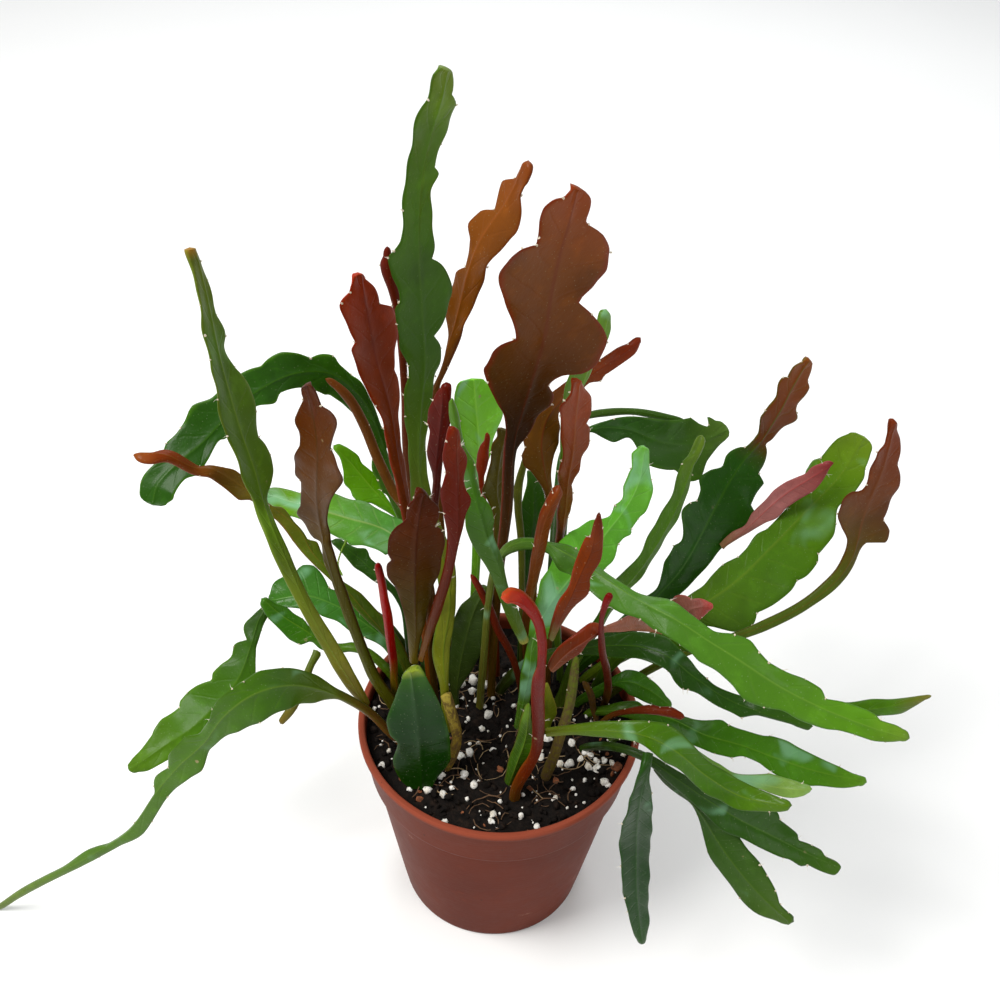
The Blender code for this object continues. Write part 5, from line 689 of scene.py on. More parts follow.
    "stem_far_right_point": dict(c=[(0, (64, 84, 34)), (.6, (68, 112, 36)), (.9, (76, 116, 42)), (1, (110, 104, 70))], edge=(60, 92, 32), es=.4, rib=(96, 134, 56), sheen=.1, gloss=.38),
    "stem_dark_back_right": dict(c=[(0, (56, 70, 32)), (.45, (46, 78, 30)), (.7, (44, 84, 32)), (.88, (52, 86, 38)), (1, (84, 112, 66))], edge=(72, 108, 48), es=.6, rib=(62, 98, 46), sheen=.15, gloss=.4),
    "stem_edge_on_right": dict(c=[(0, (76, 88, 40)), (.4, (74, 112, 42)), (.8, (82, 122, 48)), (1, (104, 128, 62))], edge=(52, 84, 30), es=.4, rib=(110, 146, 74), sheen=.15, gloss=.38),
    "stem_dark_lobed_right": dict(c=[(0, (48, 66, 26)), (.3, (38, 66, 24)), (.5, (36, 68, 24)), (.7, (42, 76, 26)), (.735, (58, 70, 30)), (.77, (108, 52, 38)), (.88, (134, 60, 46)), (1, (150, 72, 54))], edge=(62, 88, 30), es=.45, rib=(66, 96, 38), sheen=.12, gloss=.38),
    "shoot_pink_right": dict(c=[(0, (128, 104, 72)), (.2, (150, 104, 96)), (.5, (166, 112, 112)), (.8, (150, 88, 88)), (1, (134, 58, 62))], edge=(150, 80, 84), es=.5, rib=(176, 74, 78), sheen=.25, gloss=.38),
    "stem_broad_right": dict(c=[(0, (92, 112, 50)), (.3, (86, 128, 48)), (.6, (88, 142, 54)), (.85, (98, 150, 58)), (1, (126, 168, 88))], edge=(64, 108, 40), es=.5, rib=(118, 158, 84), sheen=.3, gloss=.34, veins=1.3),
    "stem_curled_far_right": dict(c=[(0, (84, 86, 44)), (.4, (86, 100, 50)), (.6, (88, 98, 50)), (.7, (100, 76, 50)), (.8, (116, 64, 48)), (1, (136, 60, 50))], edge=(104, 40, 34), es=.5, rib=(132, 74, 62), sheen=.12, gloss=.42),
    "shoot_bud_pink_right": dict(c=[(0, (140, 100, 80)), (.5, (158, 104, 96)), (1, (172, 84, 84))], edge=(168, 74, 76), es=.5, rib=(176, 120, 110), sheen=.2, gloss=.34),
    "stem_short_right": dict(c=[(0, (60, 84, 32)), (.5, (58, 104, 36)), (1, (70, 116, 42))], edge=(44, 80, 28), es=.4, rib=(96, 140, 64), sheen=.3, gloss=.32),
    "shoot_red_low_right": dict(c=[(0, (96, 84, 44)), (.4, (106, 48, 40)), (1, (128, 52, 48))], edge=(96, 30, 28), es=.4, rib=(130, 60, 52), sheen=.15, gloss=.36),
    "stem_right_middle": dict(c=[(0, (72, 92, 38)), (.3, (62, 108, 40)), (.6, (76, 128, 44)), (.85, (84, 136, 48)), (1, (100, 146, 60))], edge=(58, 100, 32), es=.5, rib=(112, 154, 74), sheen=.35, gloss=.32),
    "stem_silvery_front_right": dict(c=[(0, (70, 96, 44)), (.5, (104, 140, 90)), (1, (140, 172, 130))], edge=(96, 132, 84), es=.4, rib=(160, 184, 140), sheen=.8, gloss=.34),
    "stem_dark_front_right": dict(c=[(0, (44, 62, 28)), (.3, (40, 66, 28)), (.6, (48, 84, 34)), (.85, (54, 90, 36)), (1, (70, 104, 46))], edge=(42, 72, 26), es=.5, rib=(76, 110, 50), sheen=.3, gloss=.34),
    "stem_hanging_front_right": dict(c=[(0, (44, 74, 30)), (.4, (62, 104, 44)), (.7, (72, 112, 56)), (1, (86, 124, 56))], edge=(48, 88, 32), es=.5, rib=(92, 132, 62), sheen=.55, gloss=.34),
    "stem_drooping_front": dict(c=[(0, (60, 84, 36)), (.2, (44, 78, 30)), (.5, (36, 70, 28)), (.85, (40, 78, 30)), (1, (58, 92, 40))], edge=(58, 92, 38), es=.5, rib=(60, 96, 42), sheen=.3, gloss=.34),
    "shoot_back_right_thin": dict(c=[(0, (56, 80, 32)), (1, (58, 92, 38))], edge=(50, 80, 30), es=.4, rib=(70, 104, 44), sheen=.1, gloss=.4),
    "shoot_cut_yellow": dict(c=[(0, (110, 120, 50)), (.5, (130, 144, 60)), (1, (150, 150, 80))], edge=(180, 160, 110), es=.6, rib=(140, 152, 74), sheen=.1, gloss=.4),
    "shoot_red_small": dict(c=[(0, (84, 40, 28)), (.5, (128, 44, 36)), (1, (150, 60, 52))], edge=(110, 30, 28), es=.4, rib=(140, 60, 50), sheen=.1, gloss=.38),
    "shoot_olive_small": dict(c=[(0, (80, 84, 40)), (1, (104, 108, 50))], edge=(90, 70, 40), es=.4, rib=(120, 120, 66), sheen=.1, gloss=.4),
    "leaf_pale_small": dict(c=[(0, (110, 140, 70)), (1, (140, 176, 96))], edge=(110, 150, 70), es=.4, rib=(160, 188, 120), sheen=.4, gloss=.32),
    "twig_red": dict(c=[(0, (70, 36, 24)), (.6, (104, 36, 30)), (1, (124, 44, 36))], edge=(84, 30, 24), es=.4, rib=(130, 60, 50), sheen=0, gloss=.45),
    "twig_brown": dict(c=[(0, (84, 60, 38)), (1, (110, 78, 48))], edge=(70, 48, 30), es=.4, rib=(130, 100, 66), sheen=0, gloss=.7, cork=1),
}

# How deep each stem's colour runs (red, green, blue), where it isn't the usual.
TONE = {
    "stem_brown_left": (.64, .70, .20), "stem_big_brown": (.66, .50, .18), "stem_brown_front": (.56, .46, .18),
    "stem_red_front_tall": (.66, .60, .18), "stem_red_front_behind": (.55, .60, .30), "stem_red_mid_right": (.76, .70, .26),
    "shoot_red_dagger": (.52, .82, .50), "stem_curled_far_right": (.62, .72, .42), "stem_brown_twisted": (.74, .84, .45),
    "stem_red_mid_left": (1.30, .80, .30), "stem_tallest_green": (1.20, 1.30, .50), "stem_tall_left": (1.45, 1.32, .70),
    "stem_back_left_arch": (.64, .74, .20), "stem_mid_left_blade": (.80, .76, 1.1), "stem_long_trailing_left": (.82, .74, .78),
    "stem_long_front_right": (1.12, 1.06, .90), "stem_dark_lobed_right": (.62, .94, .22), "stem_broad_right": (.66, .58, .28),
    "stem_bright_front_right": (.66, .56, .32), "stem_hanging_front_right": (.54, .50, .42), "stem_drooping_front": (.32, .56, .22),
    "blade_front_cut": (.46, .76, .26), "stem_pale_back": (1.1, 1.3, .55), "stem_pale_centre_right": (.72, .94, 1.0),
    "shoot_red_arch": (.80, .80, .60), "shoot_red_left": (.80, .80, .60),
    "shoot_pink_right": (.95, .90, 1.5),
    "shoot_bud_pink_right": (.95, .90, 1.5),
    "shoot_pink_side": (.85, .82, 1.1),
}
TONE_USUAL = (.72, .76, .45)

# Small growth too slight for a piece of its own in the frame.
EXTRA = {
    "shoot_back_right_thin": dict(slot=DARK, base=3.0, n=12, k=(0.2, 0.2), mid=[
        (586, 418, 93), (600, 414, 95), (632, 411, 98), (684, 420, 102)],
        L=[(588, 412), (612, 408), (632, 408), (650, 410), (668, 414)],
        R=[(588, 419), (612, 416), (632, 415), (650, 418), (668, 421)]),
    "shoot_cut_yellow": dict(slot=BRIGHT, base=4.0, n=7, k=(0, 0), root=1, mid=[
        (546, 728, -1), (549, 712, -1), (548, 698, -2), (547, 683, -2)],
        L=[(541, 726), (541, 712), (542, 698), (543, 688)],
        R=[(552, 722), (557, 712), (553, 697), (549, 686)]),
    "shoot_red_small": dict(slot=RED, base=2.0, n=12, k=(0, 0), root=1, mid=[
        (498, 672, 26), (495, 610, 26), (490, 540, 26), (486, 510, 25), (482, 478, 24), (483, 455, 24), (487, 433, 24)],
        L=[(478, 476), (476, 466), (477, 455), (480, 446), (484, 440), (485, 435)],
        R=[(484, 480), (487, 468), (489, 458), (489, 450), (490, 441), (489, 434)]),
    "shoot_olive_small": dict(slot=BRIGHT, base=2.2, n=12, k=(0, 0), root=1, mid=[
        (521, 668, 30), (521, 605, 30), (520, 540, 30), (517, 505, 30), (519, 480, 30), (523, 459, 30)],
        L=[(514, 503), (513, 492), (516, 478), (520, 466)], R=[(522, 500), (523, 485), (526, 470), (526, 463)]),
    "leaf_pale_small": dict(slot=PALE, base=2.0, n=9, k=(0, 0), mid=[
        (346, 541, 25), (341, 552, 23), (338, 565, 21), (342, 575, 20)],
        L=[(333, 548), (334, 560), (338, 570)], R=[(345, 545), (347, 558), (345, 570)]),
    "twig_red": dict(slot=RED, base=2.6, n=9, k=(0, 0), root=1, mid=[
        (522, 700, 9), (516, 668, 4), (508, 648, 3), (498, 630, 2), (488, 605, 1), (478, 586, 0), (471, 575, 0)],
        L=[(505, 650), (485, 608), (474, 585)], R=[(511, 646), (491, 602), (480, 583)]),
    "twig_brown": dict(slot=CORK, base=2.0, n=9, k=(0, 0), root=1, mid=[
        (597, 722, 4), (594, 708, 5), (592, 698, 4), (588, 688, 2), (583, 682, 0)],
        L=[(590, 708), (588, 698), (585, 690)], R=[(596, 706), (595, 696), (591, 687)]),
}


class Net:
    """Short hand for a material's node tree."""

    def __init__(self, name):
        self.m = bpy.data.materials.new(name)
        self.m.use_nodes = True
        self.t = self.m.node_tree
        self.b = self.t.nodes["Principled BSDF"]

    def n(self, kind, **kw):
        x = self.t.nodes.new("ShaderNode" + kind)
        for k, v in kw.items():
            setattr(x, k, v)
        return x

    def link(self, a, b):
        self.t.links.new(a, b)

    def attr(self, name):
        return self.n("Attribute", attribute_name=name).outputs["Fac"]

    def put(self, sock, v):
        if hasattr(v, "links") or hasattr(v, "is_linked"):
            self.link(v, sock)
        else:
            sock.default_value = v

    def math(self, op, a, b=0.0, c=0.0, clamp=False):
        x = self.n("Math", operation=op, use_clamp=clamp)
        self.put(x.inputs[0], a)
        self.put(x.inputs[1], b)
        self.put(x.inputs[2], c)
        return x.outputs[0]

    def rng(self, v, a, b, c=0.0, d=1.0):
        x = self.n("MapRange", interpolation_type="SMOOTHSTEP")
        self.put(x.inputs["Value"], v)
        for k, q in zip(("From Min", "From Max", "To Min", "To Max"), (a, b, c, d)):
            x.inputs[k].default_value = q
        return x.outputs["Result"]

    def ramp(self, v, stops):
        x = self.n("ValToRGB")
        r = x.color_ramp
        while len(r.elements) > 1:
            r.elements.remove(r.elements[-1])
        r.elements[0].position = stops[0][0]
        r.elements[0].color = stops[0][1]
        for p, c in stops[1:]:
            e = r.elements.new(p)
            e.color = c
        self.put(x.inputs[0], v)
        return x.outputs["Color"]

    def mix(self, f, a, b, blend="MIX"):
        x = self.n("Mix", data_type="RGBA", blend_type=blend)
        self.put(x.inputs[0], f)
        self.put(x.inputs[6], a)
        self.put(x.inputs[7], b)
        return x.outputs[2]

    def noise(self, scale, detail=3.0, rough=0.55, vec=None, dist=0.0):
        x = self.n("TexNoise")
        x.inputs["Scale"].default_value = scale
        x.inputs["Detail"].default_value = detail
        x.inputs["Roughness"].default_value = rough
        x.inputs["Distortion"].default_value = dist
        self.link(vec if vec is not None else self.n("TexCoord").outputs["Object"], x.inputs["Vector"])
        return x.outputs["Fac"]

    def bump(self, h, strength, dist, under=None):
        x = self.n("Bump")
        x.inputs["Strength"].default_value = strength
        x.inputs["Distance"].default_value = dist
        self.link(h, x.inputs["Height"])
        if under is not None:
            self.link(under, x.inputs["Normal"])
        return x.outputs["Normal"]


def skin(name, lk, seed):
    """Waxy stem skin: colour along the stem, margins, midrib, veins, painted sky sheen."""
    k = Net(name + "_skin")
    along, across = k.attr("along"), k.attr("across")
    wide = k.math("ABSOLUTE", across)
    xyz = k.n("TexCoord").outputs["Object"]
    mp = k.n("Mapping")
    mp.inputs["Location"].default_value = (seed * 0.37, seed * 0.11, seed * 0.23)
    k.link(xyz, mp.inputs["Vector"])
    v = mp.outputs["Vector"]
    big = k.noise(32.0, 3.0, 0.55, v)
    mid = k.noise(140.0, 4.0, 0.6, v)
    fine = k.noise(900.0, 2.0, 0.5, v)
    wob = k.math("MULTIPLY_ADD", k.math("SUBTRACT", big, 0.5), 0.05, along)
    tr, tg, tb = TONE.get(name, TONE_USUAL)

    def tone(c):
        r, g, b, a = deep(c)
        return (r * tr, g * tg, b * tb, a)

    col = k.ramp(wob, [(p, tone(c)) for p, c in lk["c"]])
    # lighter and darker patches
    hsv = k.n("HueSaturation")
    hsv.inputs["Saturation"].default_value = 1.0
    hsv.inputs["Value"].default_value = 1.7
    k.link(col, hsv.inputs["Color"])
    col = k.mix(k.rng(mid, 0.50, 0.74, 0.0, 0.34), col, hsv.outputs["Color"])
    dk = k.n("HueSaturation")
    dk.inputs["Value"].default_value = 0.55
    k.link(col, dk.inputs["Color"])
    col = k.mix(k.rng(big, 0.46, 0.30, 0.0, 0.55), col, dk.outputs["Color"])
    # side veins that run from the midrib out towards the notches
    cnt = lk.get("nv", 16.0)
    ph = k.math("FRACT", k.math("ADD", k.math("MULTIPLY", along, cnt),
                                k.math("MULTIPLY_ADD", wide, -0.9, k.math("MULTIPLY", mid, 0.22))))
    vein = k.rng(k.math("ABSOLUTE", k.math("SUBTRACT", ph, 0.5)), 0.10, 0.0)
    vein = k.math("MULTIPLY", vein, k.rng(wide, 0.04, 0.2))
    vein = k.math("MULTIPLY", vein, k.rng(wide, 0.98, 0.7))
    vs = lk.get("veins", 0.8)
    col = k.mix(k.math("MULTIPLY", vein, 0.10 * vs), col, tone(lk["rib"]))
    # midrib
    rib = k.rng(wide, 0.075, 0.0)
    col = k.mix(k.math("MULTIPLY", rib, 0.55), col, tone(lk["rib"]))
    # margin
    em = k.math("MULTIPLY", k.rng(k.math("MULTIPLY_ADD", k.math("SUBTRACT", mid, 0.5), 0.16, wide), 0.84, 1.0), lk["es"])
    col = k.mix(em, col, tone(lk["edge"]))
    # faint pale stomata
    dots = k.n("TexVoronoi")
    dots.inputs["Scale"].default_value = 620.0
    k.link(v, dots.inputs["Vector"])
    dot = k.rng(dots.outputs["Distance"], 0.16, 0.05)
    col = k.mix(k.math("MULTIPLY", dot, 0.13), col, lin((196, 206, 168)))
    sh = lk["sheen"]
    rough = k.math("MULTIPLY_ADD", mid, 0.18, lk["gloss"] - 0.06)
    # painted sheen: pale mint patches stand in for the sky's reflection on the waxy skin, with a little lower roughness
    # there
    if sh > 0.26:
        painted_sheen_patch = k.rng(k.noise(46.0, 2.0, 0.5, v, 0.6), 0.66 - 0.16 * sh, 0.80 - 0.10 * sh, 0.0, 0.30 + 0.5 * sh)
        painted_sheen_patch = k.math("MULTIPLY", painted_sheen_patch, k.rng(wide, 1.0, 0.8))
        col = k.mix(painted_sheen_patch, col, lin((132, 186, 146)))
        rough = k.math("MULTIPLY_ADD", painted_sheen_patch, -0.08, rough)
    if lk.get("cork"):
        cr = k.noise(420.0, 6.0, 0.7, v, 0.8)
        col = k.mix(k.rng(cr, 0.42, 0.58, 0.0, 0.8), col, lin((78, 58, 40)))
    # dry scars and specks
    sc = k.n("TexVoronoi")
    sc.inputs["Scale"].default_value = 95.0
    sc.inputs["Randomness"].default_value = 1.0
    k.link(v, sc.inputs["Vector"])
    scar = k.math("MULTIPLY", k.rng(k.math("MULTIPLY_ADD", fine, 0.06, sc.outputs["Distance"]), 0.13, 0.08), k.rng(big, 0.55, 0.62))
    col = k.mix(k.math("MULTIPLY", scar, 0.7), col, lin((150, 132, 96)))
    k.link(col, k.b.inputs["Base Color"])
    k.link(rough, k.b.inputs["Roughness"])
    warm = lk["c"][len(lk["c"]) // 2][1]
    k.b.inputs["Specular IOR Level"].default_value = 0.05 if warm[0] > warm[1] else 0.12
    k.b.inputs["Coat Weight"].default_value = 0.0 if lk.get("cork") else 0.06
    k.b.inputs["Coat Roughness"].default_value = 0.16
    n1 = k.bump(k.math("MULTIPLY_ADD", vein, -0.16 * vs, k.math("MULTIPLY", big, 0.8)), 0.5, 0.0016)
    n2 = k.bump(k.math("MULTIPLY_ADD", fine, 0.35, k.math("MULTIPLY", mid, 1.0)), 0.8 if lk.get("cork") else 0.36, 0.0007, n1)
    k.link(n2, k.b.inputs["Normal"])
    return k.m


def wool_material():
    k = Net("areole_wool")
    f = k.noise(2500.0, 3.0, 0.6)
    k.link(k.ramp(f, [(0.3, lin((150, 128, 96))), (0.7, lin((232, 224, 204)))]), k.b.inputs["Base Color"])
    k.b.inputs["Roughness"].default_value = 0.95
    return k.m


def bristle_material():
    k = Net("areole_bristle")
    f = k.noise(900.0, 2.0, 0.6)
    k.link(k.ramp(f, [(0.3, lin((206, 196, 176))), (0.7, lin((250, 246, 236)))]), k.b.inputs["Base Color"])
    k.b.inputs["Roughness"].default_value = 0.6
    return k.m


def blob(rng, c, r, squash=1.0, sub=1, axis=None):
    """Small rounded lump: points and faces."""
    bm = bmesh.new()
    bmesh.ops.create_icosphere(bm, subdivisions=sub, radius=1.0)
    off = Vector((rng.random() * 50, rng.random() * 50, rng.random() * 50))
    rot = Matrix.Rotation(rng.random() * 6.28, 3, Vector((rng.random() - .5, rng.random() - .5, rng.random() - .5 + 1e-3)).normalized())
    pts = []
    for v in bm.verts:
        p = v.co * (1.0 + 0.55 * (noise.noise(v.co * 1.3 + off)))
        p = Vector((p.x, p.y * (0.7 + 0.4 * squash), p.z * squash))
        p = rot @ p
        pts.append(np.array([c[0] + p.x * r, c[1] + p.y * r, c[2] + p.z * r]))
    fs = [tuple(v.index for v in f.verts) for f in bm.faces]
    bm.free()
    return pts, fs


def tube(path, radii, seg=5):
    pts, fs = [], []
    path = [Vector(p) for p in path]
    n = len(path)
    for i, p in enumerate(path):
        t = (path[min(i + 1, n - 1)] - path[max(i - 1, 0)]).normalized()
        a = t.orthogonal().normalized()
        if i:
            a = (prev - t * prev.dot(t)).normalized()
        prev = a
        b = t.cross(a)
        for j in range(seg):
            w = 2 * math.pi * j / seg
            q = p + (a * math.cos(w) + b * math.sin(w)) * radii[i]
            pts.append(np.array(q))
    for i in range(n - 1):
        for j in range(seg):
            j2 = (j + 1) % seg
            fs.append((i * seg + j, i * seg + j2, (i + 1) * seg + j2, (i + 1) * seg + j))
    fs.append(tuple(range(seg - 1, -1, -1)))
    fs.append(tuple((n - 1) * seg + j for j in range(seg)))
    return pts, fs


class Soup:
    """Collects geometry with a material index per face and two attributes."""

    def __init__(self):
        self.p, self.f, self.m, self.a, self.b = [], [], [], [], []

    def add(self, pts, faces, mat, along=None, across=None):
        o = len(self.p)
        self.p += [(float(q[0]), float(q[1]), max(float(q[2]), 0.0001)) for q in pts]
        self.f += [tuple(o + i for i in f) for f in faces]
        self.m += [mat] * len(faces)
        self.a += list(along) if along is not None else [0.0] * len(pts)
        self.b += list(across) if across is not None else [0.0] * len(pts)

    def make(self, name, mats, angle=40):
        me = bpy.data.meshes.new(name)
        me.from_pydata(self.p, [], self.f)
        for x in mats:
            me.materials.append(x)
        me.polygons.foreach_set("material_index", self.m)
        for nm, vals in (("along", self.a), ("across", self.b)):
            at_ = me.attributes.new(nm, "FLOAT", "POINT")
            at_.data.foreach_set("value", vals)
        bm = bmesh.new()
        bm.from_mesh(me)
        bmesh.ops.recalc_face_normals(bm, faces=bm.faces)
        bm.to_mesh(me)
        bm.free()
        me.shade_smooth()
        me.set_sharp_from_angle(angle=math.radians(angle))
        ob = bpy.data.objects.new(name, me)
        bpy.context.scene.collection.objects.link(ob)
        return ob


WOOL = wool_material()
BRISTLE = bristle_material()
COLS = [-1.0, -0.985, -0.94, -0.82, -0.62, -0.42, -0.24, -0.11, -0.045, 0.0, 0.045, 0.11, 0.24, 0.42, 0.62, 0.82, 0.94, 0.985, 1.0]


def fine_stem(name, spec, look, seed):
    rng = random.Random(seed)
    s = rooted(spec) if spec.get("root") else spec
    mid = np.array(s["mid"], float)
    length = float(np.hypot(*np.diff(mid[:, :2], axis=0).T).sum())
    n = int(min(max(length / 2.2, 26), 230))
    q = np.linspace(0.0, 1.0, n)
    q = 1 - (1 - q) ** 1.0
    q[-1] = 0.9985
    q = np.sort(np.concatenate([q, [0.9915, 0.9955]]))
    n = len(q)
    m, l, r = stem_frame(s, q)
    tan = np.gradient(m, axis=0)
    tan /= np.linalg.norm(tan, axis=1)[:, None]
    w = r - l
    width = np.linalg.norm(w, axis=1)
    nor = np.cross(tan, w)
    nor /= np.linalg.norm(nor, axis=1)[:, None]
    for i in range(1, n):
        if nor[i] @ nor[i - 1] < 0:
            nor[i] = -nor[i]
    face = np.einsum("ij,ij->i", nor, EYE - m)
    j = int(np.abs(face).argmax())
    if face[j] < 0:
        nor = -nor
    arc = np.concatenate([[0], np.cumsum(np.linalg.norm(np.diff(m, axis=0), axis=1))])
    fold = look.get("fold", 0.07) * (1 if rng.random() < 0.8 else -0.6)
    ph = rng.random() * 6.28
    ph2 = rng.random() * 6.28
    soup = Soup()
    pts, al, ac = [], [], []
    k = len(COLS)
    for i in range(n):
        thick, edge = section_sizes(width[i])
        thick *= s.get("fat", 1.0)
        flat = min(1.0, max(0.0, (width[i] - 0.0042) / 0.006))
        edge = edge * (1 - 0.35 * flat)
        rows_t, rows_b = [], []
        for t in COLS:
            side = l[i] if t < 0 else r[i]
            base = m[i] + (side - m[i]) * abs(t)
            hw = np.linalg.norm(side - m[i])
            lift = fold * hw * abs(t) ** 1.3 * flat
            wave = flat * (0.00055 * math.sin(arc[i] * 190 + ph + (1.2 if t > 0 else 0)) * t * t
                           + 0.00035 * math.sin(arc[i] * 420 + ph2 + 2.0 * t) * abs(t) ** 3)
            ribs = 0.00005 * s.get("veins", 1.0) * flat * math.sin(arc[i] * 900 - 5.5 * abs(t)) * math.sin(math.pi * min(abs(t), 1.0))
            rnd = math.sqrt(max(0.0, 1 - t * t))
            ridge = 0.34 * rnd + 0.66 * (math.exp(-(t / 0.13) ** 2) * 0.75 + 0.25 * (1 - abs(t)))
            tt = rnd * thick / 2 * (1 - flat) + flat * ((edge / 2) * min(1.0, rnd * 2.6) + (thick / 2 - edge / 2) * ridge * min(1.0, rnd * 3))
            c = base + nor[i] * (lift + wave)
            rows_t.append(c + nor[i] * (tt + ribs))
            rows_b.append(c - nor[i] * (tt - ribs * 0.5))
        ring = rows_t + rows_b[-2:0:-1]
        pts += ring
        al += [float(q[i])] * len(ring)
        ac += COLS + COLS[-2:0:-1]
    kk = 2 * k - 2
    faces = []
    for i in range(n - 1):
        for c in range(kk):
            c2 = (c + 1) % kk
            faces.append((i * kk + c, i * kk + c2, (i + 1) * kk + c2, (i + 1) * kk + c))
    # close the two ends
    for e, rev in ((0, False), (n - 1, True)):
        cidx = len(pts)
        push = tan[e] * (0.0006 if rev else -0.0004)
        pts.append(m[e] + push)
        al.append(float(q[e]))
        ac.append(0.0)
        for c in range(kk):
            c2 = (c + 1) % kk
            faces.append((cidx, e * kk + c, e * kk + c2) if rev else (cidx, e * kk + c2, e * kk + c))
    soup.add(pts, faces, 0, al, ac)
    # areoles in the notches: a little wool and a few short bristles
    marks = []
    for side, key in ((1, "L"), (-1, "R")):
        mm = catmull(s["mid"], 400)
        for p in s.get(key, []):
            d = np.hypot(mm[:, 0] - p[0], mm[:, 1] - p[1])
            pos = d.argmin() / 400.0
            if len(p) > 2:
                marks.append((pos, side, 1.0))
            elif rng.random() < 0.22 and 0.25 < pos < 0.97:
                marks.append((pos, side, 0.6))
    for pos, side, big in marks:
        i = int(np.abs(q - pos).argmin())
        if pos > 0.985 or pos < 0.06:
            continue
        e = l[i] if side > 0 else r[i]
        out = (e - m[i]) / max(np.linalg.norm(e - m[i]), 1e-6)
        c = e + nor[i] * fold * np.linalg.norm(e - m[i]) - out * 0.0002
        bp, bf = blob(rng, c, 0.00045 * (0.7 + 0.5 * big), 0.8, 1)
        soup.add(bp, bf, 1)
        for _ in range(rng.randint(1, 4) if big > 0.8 else rng.randint(0, 2)):
            d = out + tan[i] * rng.uniform(-0.1, 1.1) + nor[i] * rng.uniform(-0.5, 0.5)
            d = d / np.linalg.norm(d)
            ln = rng.uniform(0.0008, 0.0024)
            g = tan[i] * rng.uniform(-0.3, 0.3) * ln
            tp, tf = tube([c, c + d * ln * 0.55, c + d * ln + g], [0.00008, 0.00006, 0.00002], 4)
            soup.add(tp, tf, 2)
    ob = soup.make(name + "_fine", [skin(name, look, seed), WOOL, BRISTLE], 52)
    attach(ob, "root")
    return ob


for index, (name, spec) in enumerate(STEMS.items()):
    piece = fine_stem(name, spec, LOOK[name], 11 + index)
    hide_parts(name)
for index, (name, spec) in enumerate(EXTRA.items()):
    piece = fine_stem(name, spec, LOOK[name], 301 + index)


# -------------------------------------------------------------------- pot
def pot_material():
    k = Net("terracotta_plastic")
    xyz = k.n("TexCoord").outputs["Object"]
    sep = k.n("SeparateXYZ")
    k.link(xyz, sep.inputs["Vector"])
    z = sep.outputs["Z"]
    big = k.noise(22.0, 3.0, 0.5, xyz)
    mid = k.noise(180.0, 4.0, 0.6, xyz)
    stretch = k.n("Mapping")
    stretch.inputs["Scale"].default_value = (60.0, 60.0, 900.0)
    k.link(xyz, stretch.inputs["Vector"])
    turn = k.noise(1.0, 2.0, 0.5, stretch.outputs["Vector"])
    col = k.ramp(big, [(0.3, lin((86, 32, 16))), (0.7, lin((100, 40, 22)))])
    col = k.mix(k.rng(mid, 0.55, 0.75, 0.0, 0.25), col, lin((118, 55, 36)))
    # the thin rim is a little paler towards its top
    rim = k.rng(z, POT_H - 0.0035, POT_H - 0.0008)
    col = k.mix(k.math("MULTIPLY", rim, 0.45), col, lin((172, 88, 66)))
    # dusty scuffs and short scratches
    st2 = k.n("Mapping")
    st2.inputs["Scale"].default_value = (30.0, 30.0, 260.0)
    st2.inputs["Rotation"].default_value = (0.4, 0.3, 0.2)
    k.link(xyz, st2.inputs["Vector"])
    scr = k.noise(1.0, 5.0, 0.7, st2.outputs["Vector"], 1.2)
    scuff = k.math("MULTIPLY", k.rng(scr, 0.66, 0.70), k.rng(big, 0.50, 0.62))
    col = k.mix(k.math("MULTIPLY", scuff, 0.5), col, lin((196, 150, 130)))
    # peat specks
    sp = k.n("TexVoronoi")
    sp.inputs["Scale"].default_value = 170.0
    k.link(xyz, sp.inputs["Vector"])
    speck = k.math("MULTIPLY", k.rng(sp.outputs["Distance"], 0.10, 0.06), k.rng(mid, 0.52, 0.60))
    col = k.mix(k.math("MULTIPLY", speck, 0.85), col, lin((44, 32, 26)))
    k.link(col, k.b.inputs["Base Color"])
    k.link(k.math("MULTIPLY_ADD", mid, 0.16, 0.36), k.b.inputs["Roughness"])
    k.b.inputs["Specular IOR Level"].default_value = 0.04
    n1 = k.bump(turn, 0.12, 0.0004)
    n2 = k.bump(k.math("MULTIPLY_ADD", scuff, -0.6, mid), 0.18, 0.0004, n1)
    k.link(n2, k.b.inputs["Normal"])
    return k.m


